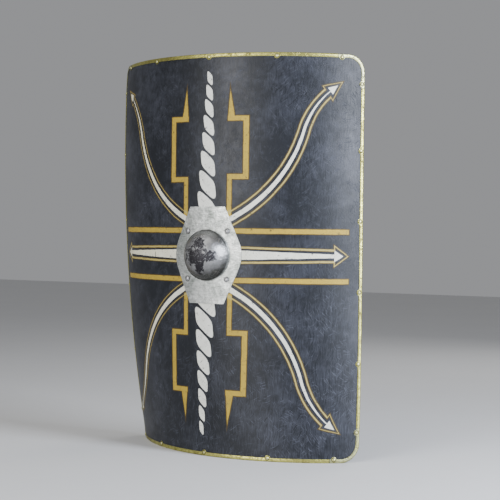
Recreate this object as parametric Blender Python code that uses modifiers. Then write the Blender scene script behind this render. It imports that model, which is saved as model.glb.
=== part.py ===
"""A Roman scutum: a tall curved shield of bent plywood with brass edging, a steel boss and a wooden grip.

The pieces that follow the board's curve are first made flat, as on a bench: X runs across the shield along
its painted face, Y runs up it from its middle and Z comes out of the face. They are scored along shared
lines and then bent round one former, so that neighbours nest with an even gap. In the finished shield the
painted face looks towards -Y, +Z is up, and the origin lies under the middle of the board, on the flat
underside of the edging.
"""

import math

import bmesh
import bpy
from mathutils import Vector

# Gap between pieces that touch
GAP = 0.0003

# The whole shield, over the edging
SHIELD_HEIGHT = 1.050
SHIELD_ARC = 0.841
FACE_RADIUS = 0.461
CORNER_RADIUS = 0.048
# The old board has sprung: its sections turn about the vertical, left side back
WARP_TOP = math.radians(-1.0)
WARP_FOOT = math.radians(9.5)

# Board
BOARD_THICKNESS = 0.007
HAND_HOLE_LEDGE = 0.007

# Brass edging: a channel of bent sheet, with round lobes at the rivets
EDGING_SHEET = 0.001
EDGING_WIDTH = 0.010
LOBE_RADIUS = 0.007
LOBE_THINNING = 0.0002
CORNER_ARM_ACROSS = 0.029
CORNER_ARM_DOWN = 0.039

# Edge rivets
EDGE_RIVET_PITCH = 0.184
EDGE_RIVET_INSET = 0.009
CORNER_RIVET_FROM_END = 0.011
EDGE_RIVET_HEAD_RADIUS = 0.0038
EDGE_RIVET_HEAD_HEIGHT = 0.0018
EDGE_RIVET_SHANK_RADIUS = 0.0012
EDGE_RIVET_TAIL_RADIUS = 0.0026
EDGE_RIVET_TAIL_HEIGHT = 0.0010

# Boss: a hexagonal plate that follows the board, and a round dome
PLATE_SHEET = 0.0016
PLATE_HEIGHT = 0.253
PLATE_WAIST = 0.215
PLATE_TOP = 0.103
PLATE_WAIST_RADIUS = 0.090
DOME_RADIUS = 0.065
DOME_HEIGHT = 0.052

# Boss rivets, on a circle round the dome
BOSS_RIVET_FROM_DOME = 0.021
BOSS_RIVET_ANGLE = math.radians(46.7)
BOSS_RIVET_HEAD_RADIUS = 0.0060
BOSS_RIVET_HEAD_HEIGHT = 0.0030
BOSS_RIVET_SHANK_RADIUS = 0.0020
BOSS_RIVET_TAIL_RADIUS = 0.0045
BOSS_RIVET_TAIL_HEIGHT = 0.0015

# Grip: a bar across the hand hole, with a pad nailed to the board at each end
PAD_LENGTH = 0.062
PAD_HEIGHT = 0.038
PAD_THICKNESS = 0.012
PAD_CLEAR_OF_HOLE = 0.008
HANDLE_HEIGHT = 0.027
HANDLE_THICKNESS = 0.024
HANDLE_BLEND = 0.030
GRIP_EDGE_RADIUS = 0.005

# Grip nails, two in each pad
GRIP_NAIL_SPACING = 0.030
GRIP_NAIL_HEAD_RADIUS = 0.0045
GRIP_NAIL_HEAD_HEIGHT = 0.0018
GRIP_NAIL_SHANK_RADIUS = 0.0014
GRIP_NAIL_POINT_COVER = 0.0025

# How finely outlines are marked out and curves are faceted
MARKING = 1e-6
RULING_PITCH = 0.034
LEVEL_PITCH = 0.104
CORNER_STEPS = 5
LOBE_SIDES = 8
WAIST_STEPS = 4
RIVET_SIDES = 6
HOLE_SIDES = 6
HAND_HOLE_SIDES = 24
DOME_SIDES = 28
DOME_STEPS = 6
GRIP_STATIONS = 8

HALF_HEIGHT = SHIELD_HEIGHT / 2
HALF_ARC = SHIELD_ARC / 2
HAND_HOLE_RADIUS = DOME_RADIUS - HAND_HOLE_LEDGE
EDGE_BUILD = GAP + EDGING_SHEET
PLATE_FACE = GAP + PLATE_SHEET
PAD_START = HAND_HOLE_RADIUS + PAD_CLEAR_OF_HOLE
PAD_END = PAD_START + PAD_LENGTH
TOP_JOINT = HALF_ARC - CORNER_RADIUS - CORNER_ARM_ACROSS
SIDE_JOINT = HALF_HEIGHT - CORNER_RADIUS - CORNER_ARM_DOWN

PAINTED_BOARD = ("painted board", (0.035, 0.040, 0.050), 0.0, 0.45)
BRASS = ("tarnished brass", (0.55, 0.47, 0.24), 1.0, 0.38)
STEEL = ("brushed steel", (0.58, 0.58, 0.57), 1.0, 0.35)
ASH = ("ash wood", (0.36, 0.24, 0.13), 0.0, 0.60)


def bent(across, up, out):
    """The place on the finished shield of a point of the flat layout."""
    angle = across / FACE_RADIUS
    radius = FACE_RADIUS + out
    x = radius * math.sin(angle)
    y = FACE_RADIUS - BOARD_THICKNESS / 2 - radius * math.cos(angle)
    rise = up / HALF_HEIGHT
    turn = (WARP_TOP - WARP_FOOT) / 2 * rise + (WARP_TOP + WARP_FOOT) / 2 * rise**2
    turned_x = x * math.cos(turn) + y * math.sin(turn)
    turned_y = y * math.cos(turn) - x * math.sin(turn)
    return Vector((turned_x, turned_y, up + HALF_HEIGHT))


def on_former(across, up, out):
    """The same place with the former's faces flat between the score lines, so that all pieces nest on it."""
    ruling = math.floor(across / RULING_PITCH)
    level = math.floor(up / LEVEL_PITCH)
    share = across / RULING_PITCH - ruling
    left = ruling * RULING_PITCH
    right = left + RULING_PITCH
    low = level * LEVEL_PITCH
    high = low + LEVEL_PITCH
    under = bent(left, low, out).lerp(bent(right, low, out), share)
    over = bent(left, high, out).lerp(bent(right, high, out), share)
    return under.lerp(over, up / LEVEL_PITCH - level)


def new_collection(name):
    collection = bpy.data.collections.new(name)
    bpy.context.scene.collection.children.link(collection)
    return collection


def new_material(name, colour, metallic, roughness):
    material = bpy.data.materials.new(name)
    material.use_nodes = True
    shader = material.node_tree.nodes["Principled BSDF"]
    shader.inputs["Base Color"].default_value = (*colour, 1.0)
    shader.inputs["Metallic"].default_value = metallic
    shader.inputs["Roughness"].default_value = roughness
    return material


def new_object(name, mesh):
    obj = bpy.data.objects.new(name, mesh)
    bpy.context.scene.collection.objects.link(obj)
    return obj


def object_from(name, shape):
    """An object that holds what a bmesh holds."""
    mesh = bpy.data.meshes.new(name)
    shape.to_mesh(mesh)
    shape.free()
    return new_object(name, mesh)


def join_flat_faces(shape):
    """Removes the edges between flush faces, then the points that this leaves along straight edges."""
    flush = math.radians(0.1)
    edges = [edge for edge in shape.edges if edge.calc_face_angle(1.0) < flush]
    bmesh.ops.dissolve_edges(shape, edges=edges, use_verts=False)
    points = [
        vertex
        for vertex in shape.verts
        if len(vertex.link_edges) == 2 and vertex.calc_edge_angle(1.0) < flush
    ]
    bmesh.ops.dissolve_verts(shape, verts=points)


def settled(obj, whole_faces=False):
    """The object as a plain mesh, with its modifiers applied and its caps welded, in place of the old one."""
    bpy.context.view_layer.update()
    graph = bpy.context.evaluated_depsgraph_get()
    mesh = bpy.data.meshes.new_from_object(obj.evaluated_get(graph))
    mesh.transform(obj.matrix_world)
    shape = bmesh.new()
    shape.from_mesh(mesh)
    bmesh.ops.remove_doubles(shape, verts=shape.verts, dist=1e-6)
    if whole_faces:
        join_flat_faces(shape)
    bmesh.ops.recalc_face_normals(shape, faces=shape.faces)
    shape.to_mesh(mesh)
    shape.free()
    name = obj.name
    bpy.data.objects.remove(obj)
    return new_object(name, mesh)


def cut(obj, cutter, operation="DIFFERENCE"):
    """The object after a Boolean with a cutter, which is used up."""
    modifier = obj.modifiers.new(cutter.name, "BOOLEAN")
    modifier.operation = operation
    modifier.object = cutter
    result = settled(obj)
    bpy.data.objects.remove(cutter)
    return result


def arc(centre, radius, start, end, steps):
    """Points along an arc between two angles in degrees, both ends included."""
    angles = [math.radians(start + (end - start) * k / steps) for k in range(steps + 1)]
    return [(centre[0] + radius * math.cos(a), centre[1] + radius * math.sin(a)) for a in angles]


def sheet(name, outline, low, high):
    """A flat piece between two heights over the bench, its outline rounded to MARKING so that lines stay true."""
    curve = bpy.data.curves.new(name, "CURVE")
    curve.dimensions = "2D"
    curve.fill_mode = "BOTH"
    curve.extrude = (high - low) / 2
    spline = curve.splines.new("POLY")
    spline.points.add(len(outline) - 1)
    for point, (x, y) in zip(spline.points, outline):
        point.co = (round(x / MARKING) * MARKING, round(y / MARKING) * MARKING, 0.0, 1.0)
    spline.use_cyclic_u = True
    obj = new_object(name, curve)
    obj.location.z = (low + high) / 2
    return settled(obj, whole_faces=True)


def rounded_rectangle(half_across, half_up, radius):
    points = []
    for start, side_x, side_y in ((0, 1, 1), (90, -1, 1), (180, -1, -1), (270, 1, -1)):
        centre = (side_x * (half_across - radius), side_y * (half_up - radius))
        points += arc(centre, radius, start, start + 90, CORNER_STEPS)
    return points


def pegs(name, places, radius, low, high, sides):
    """Upright cylinders on the bench, as one cutter."""
    shape = bmesh.new()
    for across, up in places:
        made = bmesh.ops.create_cone(
            shape, cap_ends=True, segments=sides, radius1=radius, radius2=radius, depth=high - low
        )
        bmesh.ops.translate(shape, verts=made["verts"], vec=(across, up, (low + high) / 2))
    return object_from(name, shape)


def joined(name, cutters):
    """Several cutters as one, so that a piece takes all its holes in one cut."""
    shape = bmesh.new()
    for cutter in cutters:
        shape.from_mesh(cutter.data)
        bpy.data.objects.remove(cutter)
    return object_from(name, shape)


def turned(name, profile, sides, place=(0.0, 0.0)):
    """A solid turned about an upright axis from a (radius, height) profile, from its top to its bottom."""
    mesh = bpy.data.meshes.new(name)
    edges = [(k, k + 1) for k in range(len(profile) - 1)]
    mesh.from_pydata([(radius, 0.0, height) for radius, height in profile], edges, [])
    obj = new_object(name, mesh)
    obj.location = (*place, 0.0)
    screw = obj.modifiers.new("Turn", "SCREW")
    screw.steps = sides
    screw.render_steps = sides
    screw.use_merge_vertices = True
    screw.merge_threshold = 0.00005
    return settled(obj)


def scored(obj):
    """The flat piece with its faces split along the shared rulings and levels, then triangulated."""
    shape = bmesh.new()
    shape.from_mesh(obj.data)
    join_flat_faces(shape)
    for pitch, half, normal in (
        (RULING_PITCH, HALF_ARC, Vector((1, 0, 0))),
        (LEVEL_PITCH, HALF_HEIGHT, Vector((0, 1, 0))),
    ):
        lines = int(half / pitch)
        for k in range(-lines, lines + 1):
            everything = shape.verts[:] + shape.edges[:] + shape.faces[:]
            bmesh.ops.bisect_plane(
                shape, geom=everything, dist=1e-6, plane_co=normal * (k * pitch), plane_no=normal
            )
    bmesh.ops.triangulate(shape, faces=shape.faces)
    shape.to_mesh(obj.data)
    shape.free()
    return obj


def bend(obj, anchor):
    """Bends the flat piece round the former and puts its origin at the bent anchor point."""
    place = on_former(*anchor)
    for vertex in obj.data.vertices:
        vertex.co = on_former(*vertex.co) - place
    obj.location = place
    return obj


def finish(obj, material):
    """Gives the finished piece its material, shading, collection and parent."""
    obj.data.materials.clear()
    obj.data.materials.append(material)
    obj.data.shade_smooth()
    obj.data.set_sharp_from_angle(angle=math.radians(30))
    bpy.context.scene.collection.objects.unlink(obj)
    PARTS.objects.link(obj)
    obj.parent = SHIELD
    return obj


def rivet_profile(head, shank_radius, tail, top, bottom):
    """A domed head over top, a shank, and a hammered tail under bottom; each end is (radius, height)."""
    head_radius, head_height = head
    tail_radius, tail_height = tail
    return [
        (0.0, top + head_height),
        (head_radius * 0.6, top + head_height * 0.8),
        (head_radius, top),
        (shank_radius, top),
        (shank_radius, bottom),
        (tail_radius, bottom),
        (0.0, bottom - tail_height),
    ]


def straight_run(half_length):
    """Where the rivets sit along a straight length of edging, from its middle."""
    count = max(1, int(2 * half_length / EDGE_RIVET_PITCH))
    return [(k - (count - 1) / 2) * EDGE_RIVET_PITCH for k in range(count)]


def rectangle(left, low, right, high):
    return [(left, low), (right, low), (right, high), (left, high)]


def corner_outline():
    """(across, up) points of the upper right corner length."""
    centre = (HALF_ARC - CORNER_RADIUS, HALF_HEIGHT - CORNER_RADIUS)
    points = [(TOP_JOINT, HALF_HEIGHT)]
    points += arc(centre, CORNER_RADIUS, 90, 0, CORNER_STEPS)
    points.append((HALF_ARC, SIDE_JOINT))
    points.append((HALF_ARC - EDGING_WIDTH, SIDE_JOINT))
    points += arc(centre, CORNER_RADIUS - EDGING_WIDTH, 0, 90, CORNER_STEPS)
    points.append((TOP_JOINT, HALF_HEIGHT - EDGING_WIDTH))
    return points


def edging_plan():
    """Each length of edging: its name, flat outline, rivet places and anchor."""
    plan = []
    rivet_across = HALF_ARC - EDGE_RIVET_INSET
    rivet_up = HALF_HEIGHT - EDGE_RIVET_INSET
    for level, name in ((1, "top"), (-1, "bottom")):
        end = TOP_JOINT - GAP
        outline = rectangle(-end, level * (HALF_HEIGHT - EDGING_WIDTH), end, level * HALF_HEIGHT)
        rivets = [(along, level * rivet_up) for along in straight_run(end)]
        plan.append((f"edging_{name}", outline, rivets, (0.0, level * HALF_HEIGHT, 0.0)))
    for side, name in ((-1, "left"), (1, "right")):
        end = SIDE_JOINT - GAP
        outline = rectangle(side * (HALF_ARC - EDGING_WIDTH), -end, side * HALF_ARC, end)
        rivets = [(side * rivet_across, along) for along in straight_run(end)]
        plan.append((f"edging_{name}", outline, rivets, (side * HALF_ARC, 0.0, 0.0)))
    for level, level_name in ((1, "top"), (-1, "bottom")):
        for side, side_name in ((-1, "left"), (1, "right")):
            outline = [(side * across, level * up) for across, up in corner_outline()]
            rivets = [
                (side * (TOP_JOINT + CORNER_RIVET_FROM_END), level * rivet_up),
                (side * rivet_across, level * (SIDE_JOINT + CORNER_RIVET_FROM_END)),
            ]
            anchor = (side * HALF_ARC, level * HALF_HEIGHT, 0.0)
            plan.append((f"edging_corner_{level_name}_{side_name}", outline, rivets, anchor))
    return plan


def edge_holes(places):
    radius = EDGE_RIVET_SHANK_RADIUS + GAP
    return pegs("edge holes", places, radius, -2 * BOARD_THICKNESS, BOARD_THICKNESS, HOLE_SIDES)


def make_edging(plan):
    """Each length is a strip with lobes beaten out at its rivets, cut by the board's slot and the holes."""
    back = -BOARD_THICKNESS - EDGE_BUILD
    for name, outline, rivets, anchor in plan:
        length = sheet(name, outline, back, EDGE_BUILD)
        thin = LOBE_THINNING
        lobes = pegs("lobes", rivets, LOBE_RADIUS, back + thin, EDGE_BUILD - thin, LOBE_SIDES)
        length = cut(length, lobes, "UNION")
        slot_outline = rounded_rectangle(
            HALF_ARC - EDGING_SHEET, HALF_HEIGHT - EDGING_SHEET, CORNER_RADIUS - EDGING_SHEET
        )
        length = cut(length, sheet("slot", slot_outline, -BOARD_THICKNESS - GAP, GAP))
        length = cut(length, edge_holes(rivets))
        finish(bend(scored(length), anchor), brass)


def make_board(edge_rivet_places, boss_rivet_places, grip_nail_places):
    outline = rounded_rectangle(
        HALF_ARC - EDGE_BUILD, HALF_HEIGHT - EDGE_BUILD, CORNER_RADIUS - EDGE_BUILD
    )
    board = sheet("board", outline, -BOARD_THICKNESS, 0.0)
    low = -2 * BOARD_THICKNESS
    high = BOARD_THICKNESS
    boss_shank = BOSS_RIVET_SHANK_RADIUS + GAP
    nail_shank = GRIP_NAIL_SHANK_RADIUS + GAP
    nail_end = GAP - GRIP_NAIL_POINT_COVER
    cutters = [
        pegs("hand hole", [(0.0, 0.0)], HAND_HOLE_RADIUS, low, high, HAND_HOLE_SIDES),
        edge_holes(edge_rivet_places),
        pegs("boss holes", boss_rivet_places, boss_shank, low, high, HOLE_SIDES),
        pegs("nail holes", grip_nail_places, nail_shank, low, nail_end, HOLE_SIDES),
    ]
    board = cut(board, joined("holes", cutters))
    return finish(bend(scored(board), (0.0, 0.0, 0.0)), painted)


def make_edge_rivets(places):
    profile = rivet_profile(
        (EDGE_RIVET_HEAD_RADIUS, EDGE_RIVET_HEAD_HEIGHT),
        EDGE_RIVET_SHANK_RADIUS,
        (EDGE_RIVET_TAIL_RADIUS, EDGE_RIVET_TAIL_HEIGHT),
        EDGE_BUILD + GAP,
        -BOARD_THICKNESS - EDGE_BUILD - GAP,
    )
    for number, place in enumerate(places, 1):
        rivet = turned(f"edge_rivet_{number:02d}", profile, RIVET_SIDES, place)
        finish(bend(rivet, (*place, EDGE_BUILD)), brass)


def dome_profile(shell, back):
    """The dome's sphere, this far inside its outer face, from its crown back to a depth behind the plate."""
    sphere_radius = (DOME_RADIUS**2 + DOME_HEIGHT**2) / (2 * DOME_HEIGHT)
    centre = PLATE_FACE + DOME_HEIGHT - sphere_radius
    radius = sphere_radius - shell
    end = math.acos(max(-1.0, (back - centre) / radius))
    angles = [end * k / DOME_STEPS for k in range(DOME_STEPS + 1)]
    points = [(radius * math.sin(a), centre + radius * math.cos(a)) for a in angles]
    return [*points, (0.0, back)]


def turned_forward(obj):
    """A turned solid moved from the bench to the middle of the shield, its axis along -Y."""
    obj.rotation_euler.x = math.radians(90)
    obj.location = (0.0, -BOARD_THICKNESS / 2, HALF_HEIGHT)
    return settled(obj)


def make_boss(rivet_places):
    half_top = PLATE_TOP / 2
    half_height = PLATE_HEIGHT / 2
    half_waist = PLATE_WAIST / 2
    slant = math.atan2(half_waist - half_top, half_height)
    waist_centre = half_waist - PLATE_WAIST_RADIUS / math.cos(slant)
    bow = math.degrees(slant)
    right = arc((waist_centre, 0.0), PLATE_WAIST_RADIUS, bow, -bow, WAIST_STEPS)
    left = [(-across, -up) for across, up in right]
    outline = [(half_top, half_height), *right, (half_top, -half_height)]
    outline += [(-half_top, -half_height), *left, (-half_top, half_height)]
    plate = sheet("boss", outline, GAP, PLATE_FACE)
    shank = BOSS_RIVET_SHANK_RADIUS + GAP
    holes = pegs("boss holes", rivet_places, shank, -PLATE_FACE, 3 * PLATE_FACE, HOLE_SIDES)
    plate = bend(scored(cut(plate, holes)), (0.0, 0.0, 0.0))

    behind = -2 * BOARD_THICKNESS
    dome = turned_forward(turned("dome", dome_profile(0.0, behind), DOME_SIDES))
    side = DOME_RADIUS + 3 * BOARD_THICKNESS
    square = [(side, side), (-side, side), (-side, -side), (side, -side)]
    trim = sheet("dome trim", square, 2 * behind, GAP + PLATE_SHEET / 2)
    dome = cut(dome, bend(scored(trim), (0.0, 0.0, 0.0)))
    boss = cut(plate, dome, "UNION")
    hollow = turned_forward(turned("hollow", dome_profile(PLATE_SHEET, behind), DOME_SIDES))
    return finish(cut(boss, hollow), steel)


def make_boss_rivets(places):
    profile = rivet_profile(
        (BOSS_RIVET_HEAD_RADIUS, BOSS_RIVET_HEAD_HEIGHT),
        BOSS_RIVET_SHANK_RADIUS,
        (BOSS_RIVET_TAIL_RADIUS, BOSS_RIVET_TAIL_HEIGHT),
        PLATE_FACE + GAP,
        -BOARD_THICKNESS - GAP,
    )
    for number, place in enumerate(places, 1):
        rivet = turned(f"boss_rivet_{number}", profile, RIVET_SIDES, place)
        finish(bend(rivet, (*place, PLATE_FACE)), steel)


def grip_section(across):
    """The grip's half height and thickness at this distance from its middle."""
    share = min(1.0, max(0.0, (abs(across) - PAD_START + HANDLE_BLEND) / HANDLE_BLEND))
    blend = share * share * (3 - 2 * share)
    half_height = (HANDLE_HEIGHT + (PAD_HEIGHT - HANDLE_HEIGHT) * blend) / 2
    return half_height, HANDLE_THICKNESS + (PAD_THICKNESS - HANDLE_THICKNESS) * blend


def make_grip(nail_places):
    """A bar whose section changes from flat pads to a handle over the hand hole."""
    front = -BOARD_THICKNESS - GAP
    shape = bmesh.new()
    bmesh.ops.create_cube(shape, size=2.0)
    lengthwise = [edge for edge in shape.edges if edge.verts[0].co.x != edge.verts[1].co.x]
    bmesh.ops.subdivide_edges(shape, edges=lengthwise, cuts=GRIP_STATIONS, use_grid_fill=True)
    for vertex in shape.verts:
        vertex.co.x *= PAD_END
        half_height, thickness = grip_section(vertex.co.x)
        vertex.co.y *= half_height
        vertex.co.z = front if vertex.co.z > 0 else front - thickness
    grip = object_from("grip", shape)
    rounding = grip.modifiers.new("Rounding", "BEVEL")
    rounding.width = GRIP_EDGE_RADIUS
    rounding.segments = 1
    rounding.limit_method = "ANGLE"
    rounding.angle_limit = math.radians(50)
    grip = settled(grip)
    shank = GRIP_NAIL_SHANK_RADIUS + GAP
    low = front - 2 * PAD_THICKNESS
    holes = pegs("nail holes", nail_places, shank, low, -front, HOLE_SIDES)
    return finish(bend(scored(cut(grip, holes)), (0.0, 0.0, front)), ash)


def make_grip_nails(places):
    seat = -BOARD_THICKNESS - GAP - PAD_THICKNESS - GAP
    profile = [
        (0.0, -GRIP_NAIL_POINT_COVER),
        (GRIP_NAIL_SHANK_RADIUS, -GRIP_NAIL_POINT_COVER - GRIP_NAIL_SHANK_RADIUS),
        (GRIP_NAIL_SHANK_RADIUS, seat),
        (GRIP_NAIL_HEAD_RADIUS, seat),
        (GRIP_NAIL_HEAD_RADIUS * 0.6, seat - GRIP_NAIL_HEAD_HEIGHT * 0.8),
        (0.0, seat - GRIP_NAIL_HEAD_HEIGHT),
    ]
    for number, place in enumerate(places, 1):
        nail = turned(f"grip_nail_{number}", profile, RIVET_SIDES, place)
        finish(bend(nail, (*place, seat)), steel)


for leftover in list(bpy.data.objects):
    bpy.data.objects.remove(leftover)

PARTS = new_collection("Roman scutum")
SHIELD = bpy.data.objects.new("scutum", None)
PARTS.objects.link(SHIELD)

painted = new_material(*PAINTED_BOARD)
brass = new_material(*BRASS)
steel = new_material(*STEEL)
ash = new_material(*ASH)

# Where the rivets and the nails go on the flat layout
edging = edging_plan()
edge_rivets = [place for name, outline, rivets, anchor in edging for place in rivets]

rivet_circle = DOME_RADIUS + BOSS_RIVET_FROM_DOME
boss_rivet_across = rivet_circle * math.cos(BOSS_RIVET_ANGLE)
boss_rivet_up = rivet_circle * math.sin(BOSS_RIVET_ANGLE)
boss_rivets = [(side * boss_rivet_across, level * boss_rivet_up) for side in (-1, 1) for level in (1, -1)]

pad_middle = (PAD_START + PAD_END) / 2
nail_offsets = (-GRIP_NAIL_SPACING / 2, GRIP_NAIL_SPACING / 2)
grip_nails = [(side * (pad_middle + offset), 0.0) for side in (-1, 1) for offset in nail_offsets]

make_board(edge_rivets, boss_rivets, grip_nails)
make_edging(edging)
make_edge_rivets(edge_rivets)
make_boss(boss_rivets)
make_boss_rivets(boss_rivets)
make_grip(grip_nails)
make_grip_nails(grip_nails)
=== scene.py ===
import math
from functools import reduce

import bmesh
import bpy
from mathutils import Matrix, Vector


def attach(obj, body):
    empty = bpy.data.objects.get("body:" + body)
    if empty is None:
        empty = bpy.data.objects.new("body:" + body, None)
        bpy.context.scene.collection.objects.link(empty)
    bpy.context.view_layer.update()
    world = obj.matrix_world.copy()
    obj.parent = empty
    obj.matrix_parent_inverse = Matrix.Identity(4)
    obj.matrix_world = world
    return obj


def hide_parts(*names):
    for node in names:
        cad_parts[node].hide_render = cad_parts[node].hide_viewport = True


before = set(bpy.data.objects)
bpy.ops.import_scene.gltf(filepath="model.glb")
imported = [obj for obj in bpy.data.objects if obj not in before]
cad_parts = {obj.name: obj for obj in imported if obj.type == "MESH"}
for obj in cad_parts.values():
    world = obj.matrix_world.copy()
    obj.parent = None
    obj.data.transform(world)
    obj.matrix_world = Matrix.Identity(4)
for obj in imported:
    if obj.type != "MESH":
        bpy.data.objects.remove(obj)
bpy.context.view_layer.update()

# The board is one sheet of plywood, bent round a former, with round corners and a hand hole.
# Its face is painted by hand: blue-black, with ochre lines and off-white strands, worn by use.
# It is drawn flat first, X across, Y up and Z out of the face, and bent as the last step.
SHIELD_HEIGHT = 1.050
SHIELD_ARC = 0.841
FACE_RADIUS = 0.461
CORNER_RADIUS = 0.048
WARP_TOP = math.radians(-1.0)
WARP_FOOT = math.radians(9.5)
BOARD_THICKNESS = 0.007
PLIES = 5.0
BOARD_INSET = 0.0013
HAND_HOLE_RADIUS = 0.058
HAND_HOLE_SIDES = 72
HOLE_WALL_REACH = 0.0002
PAINT_LIP = 0.0006
BOARD_CORNER_STEPS = 14
BOARD_RULING_PITCH = 0.008
BOARD_LEVEL_PITCH = 0.021
HALF_HEIGHT = SHIELD_HEIGHT / 2
HALF_ARC = SHIELD_ARC / 2

BLUE_BLACK = (0.0075, 0.0092, 0.0135, 1.0)
RUBBED_BLACK = (0.1050, 0.1130, 0.1500, 1.0)
OCHRE = (0.520, 0.355, 0.036, 1.0)
WORN_OCHRE = (0.370, 0.255, 0.038, 1.0)
PALE_OCHRE = (0.470, 0.420, 0.180, 1.0)
BROWN_EDGE = (0.048, 0.030, 0.009, 1.0)
OFF_WHITE = (0.900, 0.905, 0.840, 1.0)
SOILED_WHITE = (0.620, 0.630, 0.570, 1.0)
CREAM = (0.760, 0.710, 0.470, 1.0)
BARE_PLY = (0.300, 0.190, 0.095, 1.0)
DARK_PLY = (0.150, 0.085, 0.040, 1.0)

# Sizes of the painted pattern that more than one of its shapes, or the whole of it, goes by.
PAINT_SOFTNESS = 0.0009
HAND_WANDER = 0.0022
PATTERN_MIDDLE = -0.0008
CLEAR_OF_BOSS = 0.045
LEVEL_ARROW_HEAD = 0.3390
LEVEL_ARROW_UP = 0.0015
BAR_LEVEL = 0.0640
BAR_HALF_WIDTH = 0.0085
BAR_END = 0.3835
BAR_DARK_EDGE = 0.0024

# The board's scuffs run upright, slanting and crossing, and some are dark.
SCUFF_TERMS = ("lean", "fineness", "length", "cover", "seed")
BOARD_SCUFFS = (
    (0.06, 520.0, 0.060, 0.60, 0.0),
    (1.15, 430.0, 0.030, 0.80, 7.0),
    (-0.75, 460.0, 0.026, 0.80, 19.0),
    (0.60, 300.0, 0.034, 0.75, 31.0),
)

# One old knock stands out, beside the level arrow.
KNOCK_ACROSS = -0.187
KNOCK_UP = -0.003
KNOCK_HALF_WIDTH = 0.0020
KNOCK_HALF_HEIGHT = 0.0105


def working(operation):
    """A method of a reading that works out one operation, on one or two values."""
    return lambda reading, *others: reading.worked(operation, *others)


class Reading:
    """A number that nodes work out. A sum of readings puts in the nodes that work out the sum."""

    def __init__(self, socket):
        self.socket = socket
        self.tree = socket.id_data

    def worked(self, operation, *others, clamp=False):
        node = self.tree.nodes.new("ShaderNodeMath")
        node.operation = operation
        node.use_clamp = clamp
        for entry, value in zip(node.inputs, (self, *others)):
            join(value, entry)
        return Reading(node.outputs[0])

    __add__ = __radd__ = working("ADD")
    __sub__ = working("SUBTRACT")
    __mul__ = __rmul__ = working("MULTIPLY")
    __truediv__ = working("DIVIDE")
    __pow__ = working("POWER")
    __abs__ = working("ABSOLUTE")
    least = working("MINIMUM")
    most = working("MAXIMUM")
    root = working("SQRT")
    sine = working("SINE")
    cosine = working("COSINE")
    # 1 where the reading is over the limit, and 0 elsewhere.
    over = working("GREATER_THAN")

    def __rsub__(self, other):
        return self.worked("MULTIPLY", -1.0).worked("ADD", other)

    def share(self):
        """The reading kept between 0 and 1."""
        return self.worked("ADD", 0.0, clamp=True)

    def ramp(self, low, high):
        """0 below low, 1 above high, and a straight rise between them."""
        return ((self - low) / (high - low)).share()


def join(value, entry):
    """Links a reading or a socket to a node's entry, or sets the entry to a plain value."""
    if isinstance(value, Reading):
        value = value.socket
    if isinstance(value, bpy.types.NodeSocket):
        entry.id_data.links.new(value, entry)
    else:
        entry.default_value = value


def put(tree, kind, entries=None, **settings):
    """Puts a node in a tree, with its settings, and joins its entries."""
    node = tree.nodes.new(kind)
    for name, value in settings.items():
        setattr(node, name, value)
    for name, value in (entries or {}).items():
        join(value, node.inputs[name])
    return node


def parts_of(tree, vector):
    """The three numbers of a vector, as readings."""
    return [Reading(s) for s in put(tree, "ShaderNodeSeparateXYZ", {0: vector}).outputs]


def vector_of(tree, x, y, z):
    return put(tree, "ShaderNodeCombineXYZ", {0: x, 1: y, 2: z}).outputs[0]


def hypotenuse(x, y):
    """The long side of a triangle with these two sides at a right angle."""
    return (x * x + y * y).root()


def noise(tree, place, scale, detail, roughness=0.5):
    """Soft noise at a place, from 0 to 1."""
    entries = {"Vector": place, "Scale": scale, "Detail": detail, "Roughness": roughness}
    return Reading(put(tree, "ShaderNodeTexNoise", entries).outputs["Fac"])


GEOMETRY = "NodeSocketGeometry"
VECTOR = "NodeSocketVector"
FINISH = "NodeSocketMaterial"
NUMBERS = {float: "NodeSocketFloat", int: "NodeSocketInt"}


def new_group(name, kind, entries, results):
    """A node group: its tree, its entries as readings, and its last node.

    An entry is a number, which it keeps until a user gives another, or else the kind of its socket.
    """
    tree = bpy.data.node_groups.new(name, kind)
    for label, value in entries.items():
        socket_type = NUMBERS.get(type(value), value)
        socket = tree.interface.new_socket(label, in_out="INPUT", socket_type=socket_type)
        if socket_type != value:
            socket.default_value = value
    result_type = GEOMETRY if kind == "GeometryNodeTree" else NUMBERS[float]
    for label in results:
        tree.interface.new_socket(label, in_out="OUTPUT", socket_type=result_type)
    first = tree.nodes.new("NodeGroupInput")
    given = {label: Reading(first.outputs[label]) for label in entries}
    return tree, given, tree.nodes.new("NodeGroupOutput")


def former_group():
    """Bends flat geometry round the former, and keeps its flat places as the attribute "layout"."""
    entries = {
        "Flat": GEOMETRY,
        "Face Radius": FACE_RADIUS,
        "Board Thickness": BOARD_THICKNESS,
        "Half Height": HALF_HEIGHT,
        "Warp Top": WARP_TOP,
        "Warp Foot": WARP_FOOT,
    }
    tree, given, last = new_group("bend round the former", "GeometryNodeTree", entries, ["Bent"])
    place = put(tree, "GeometryNodeInputPosition").outputs[0]
    kept = put(
        tree,
        "GeometryNodeStoreNamedAttribute",
        {"Geometry": given["Flat"], "Name": "layout", "Value": place},
        data_type="FLOAT_VECTOR",
        domain="POINT",
    )
    face_radius, half_height = given["Face Radius"], given["Half Height"]
    across, up, out = parts_of(tree, place)
    angle = across / face_radius
    radius = out + face_radius
    x = radius * angle.sine()
    y = face_radius - given["Board Thickness"] * 0.5 - radius * angle.cosine()
    rise = up / half_height
    lean = (given["Warp Top"] - given["Warp Foot"]) * 0.5
    bow = (given["Warp Top"] + given["Warp Foot"]) * 0.5
    turn = lean * rise + bow * rise * rise
    turned_x = x * turn.cosine() + y * turn.sine()
    turned_y = y * turn.cosine() - x * turn.sine()
    bent = vector_of(tree, turned_x, turned_y, up + half_height)
    moved = put(tree, "GeometryNodeSetPosition", {"Geometry": kept.outputs[0], "Position": bent})
    join(moved.outputs[0], last.inputs[0])
    return tree


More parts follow.
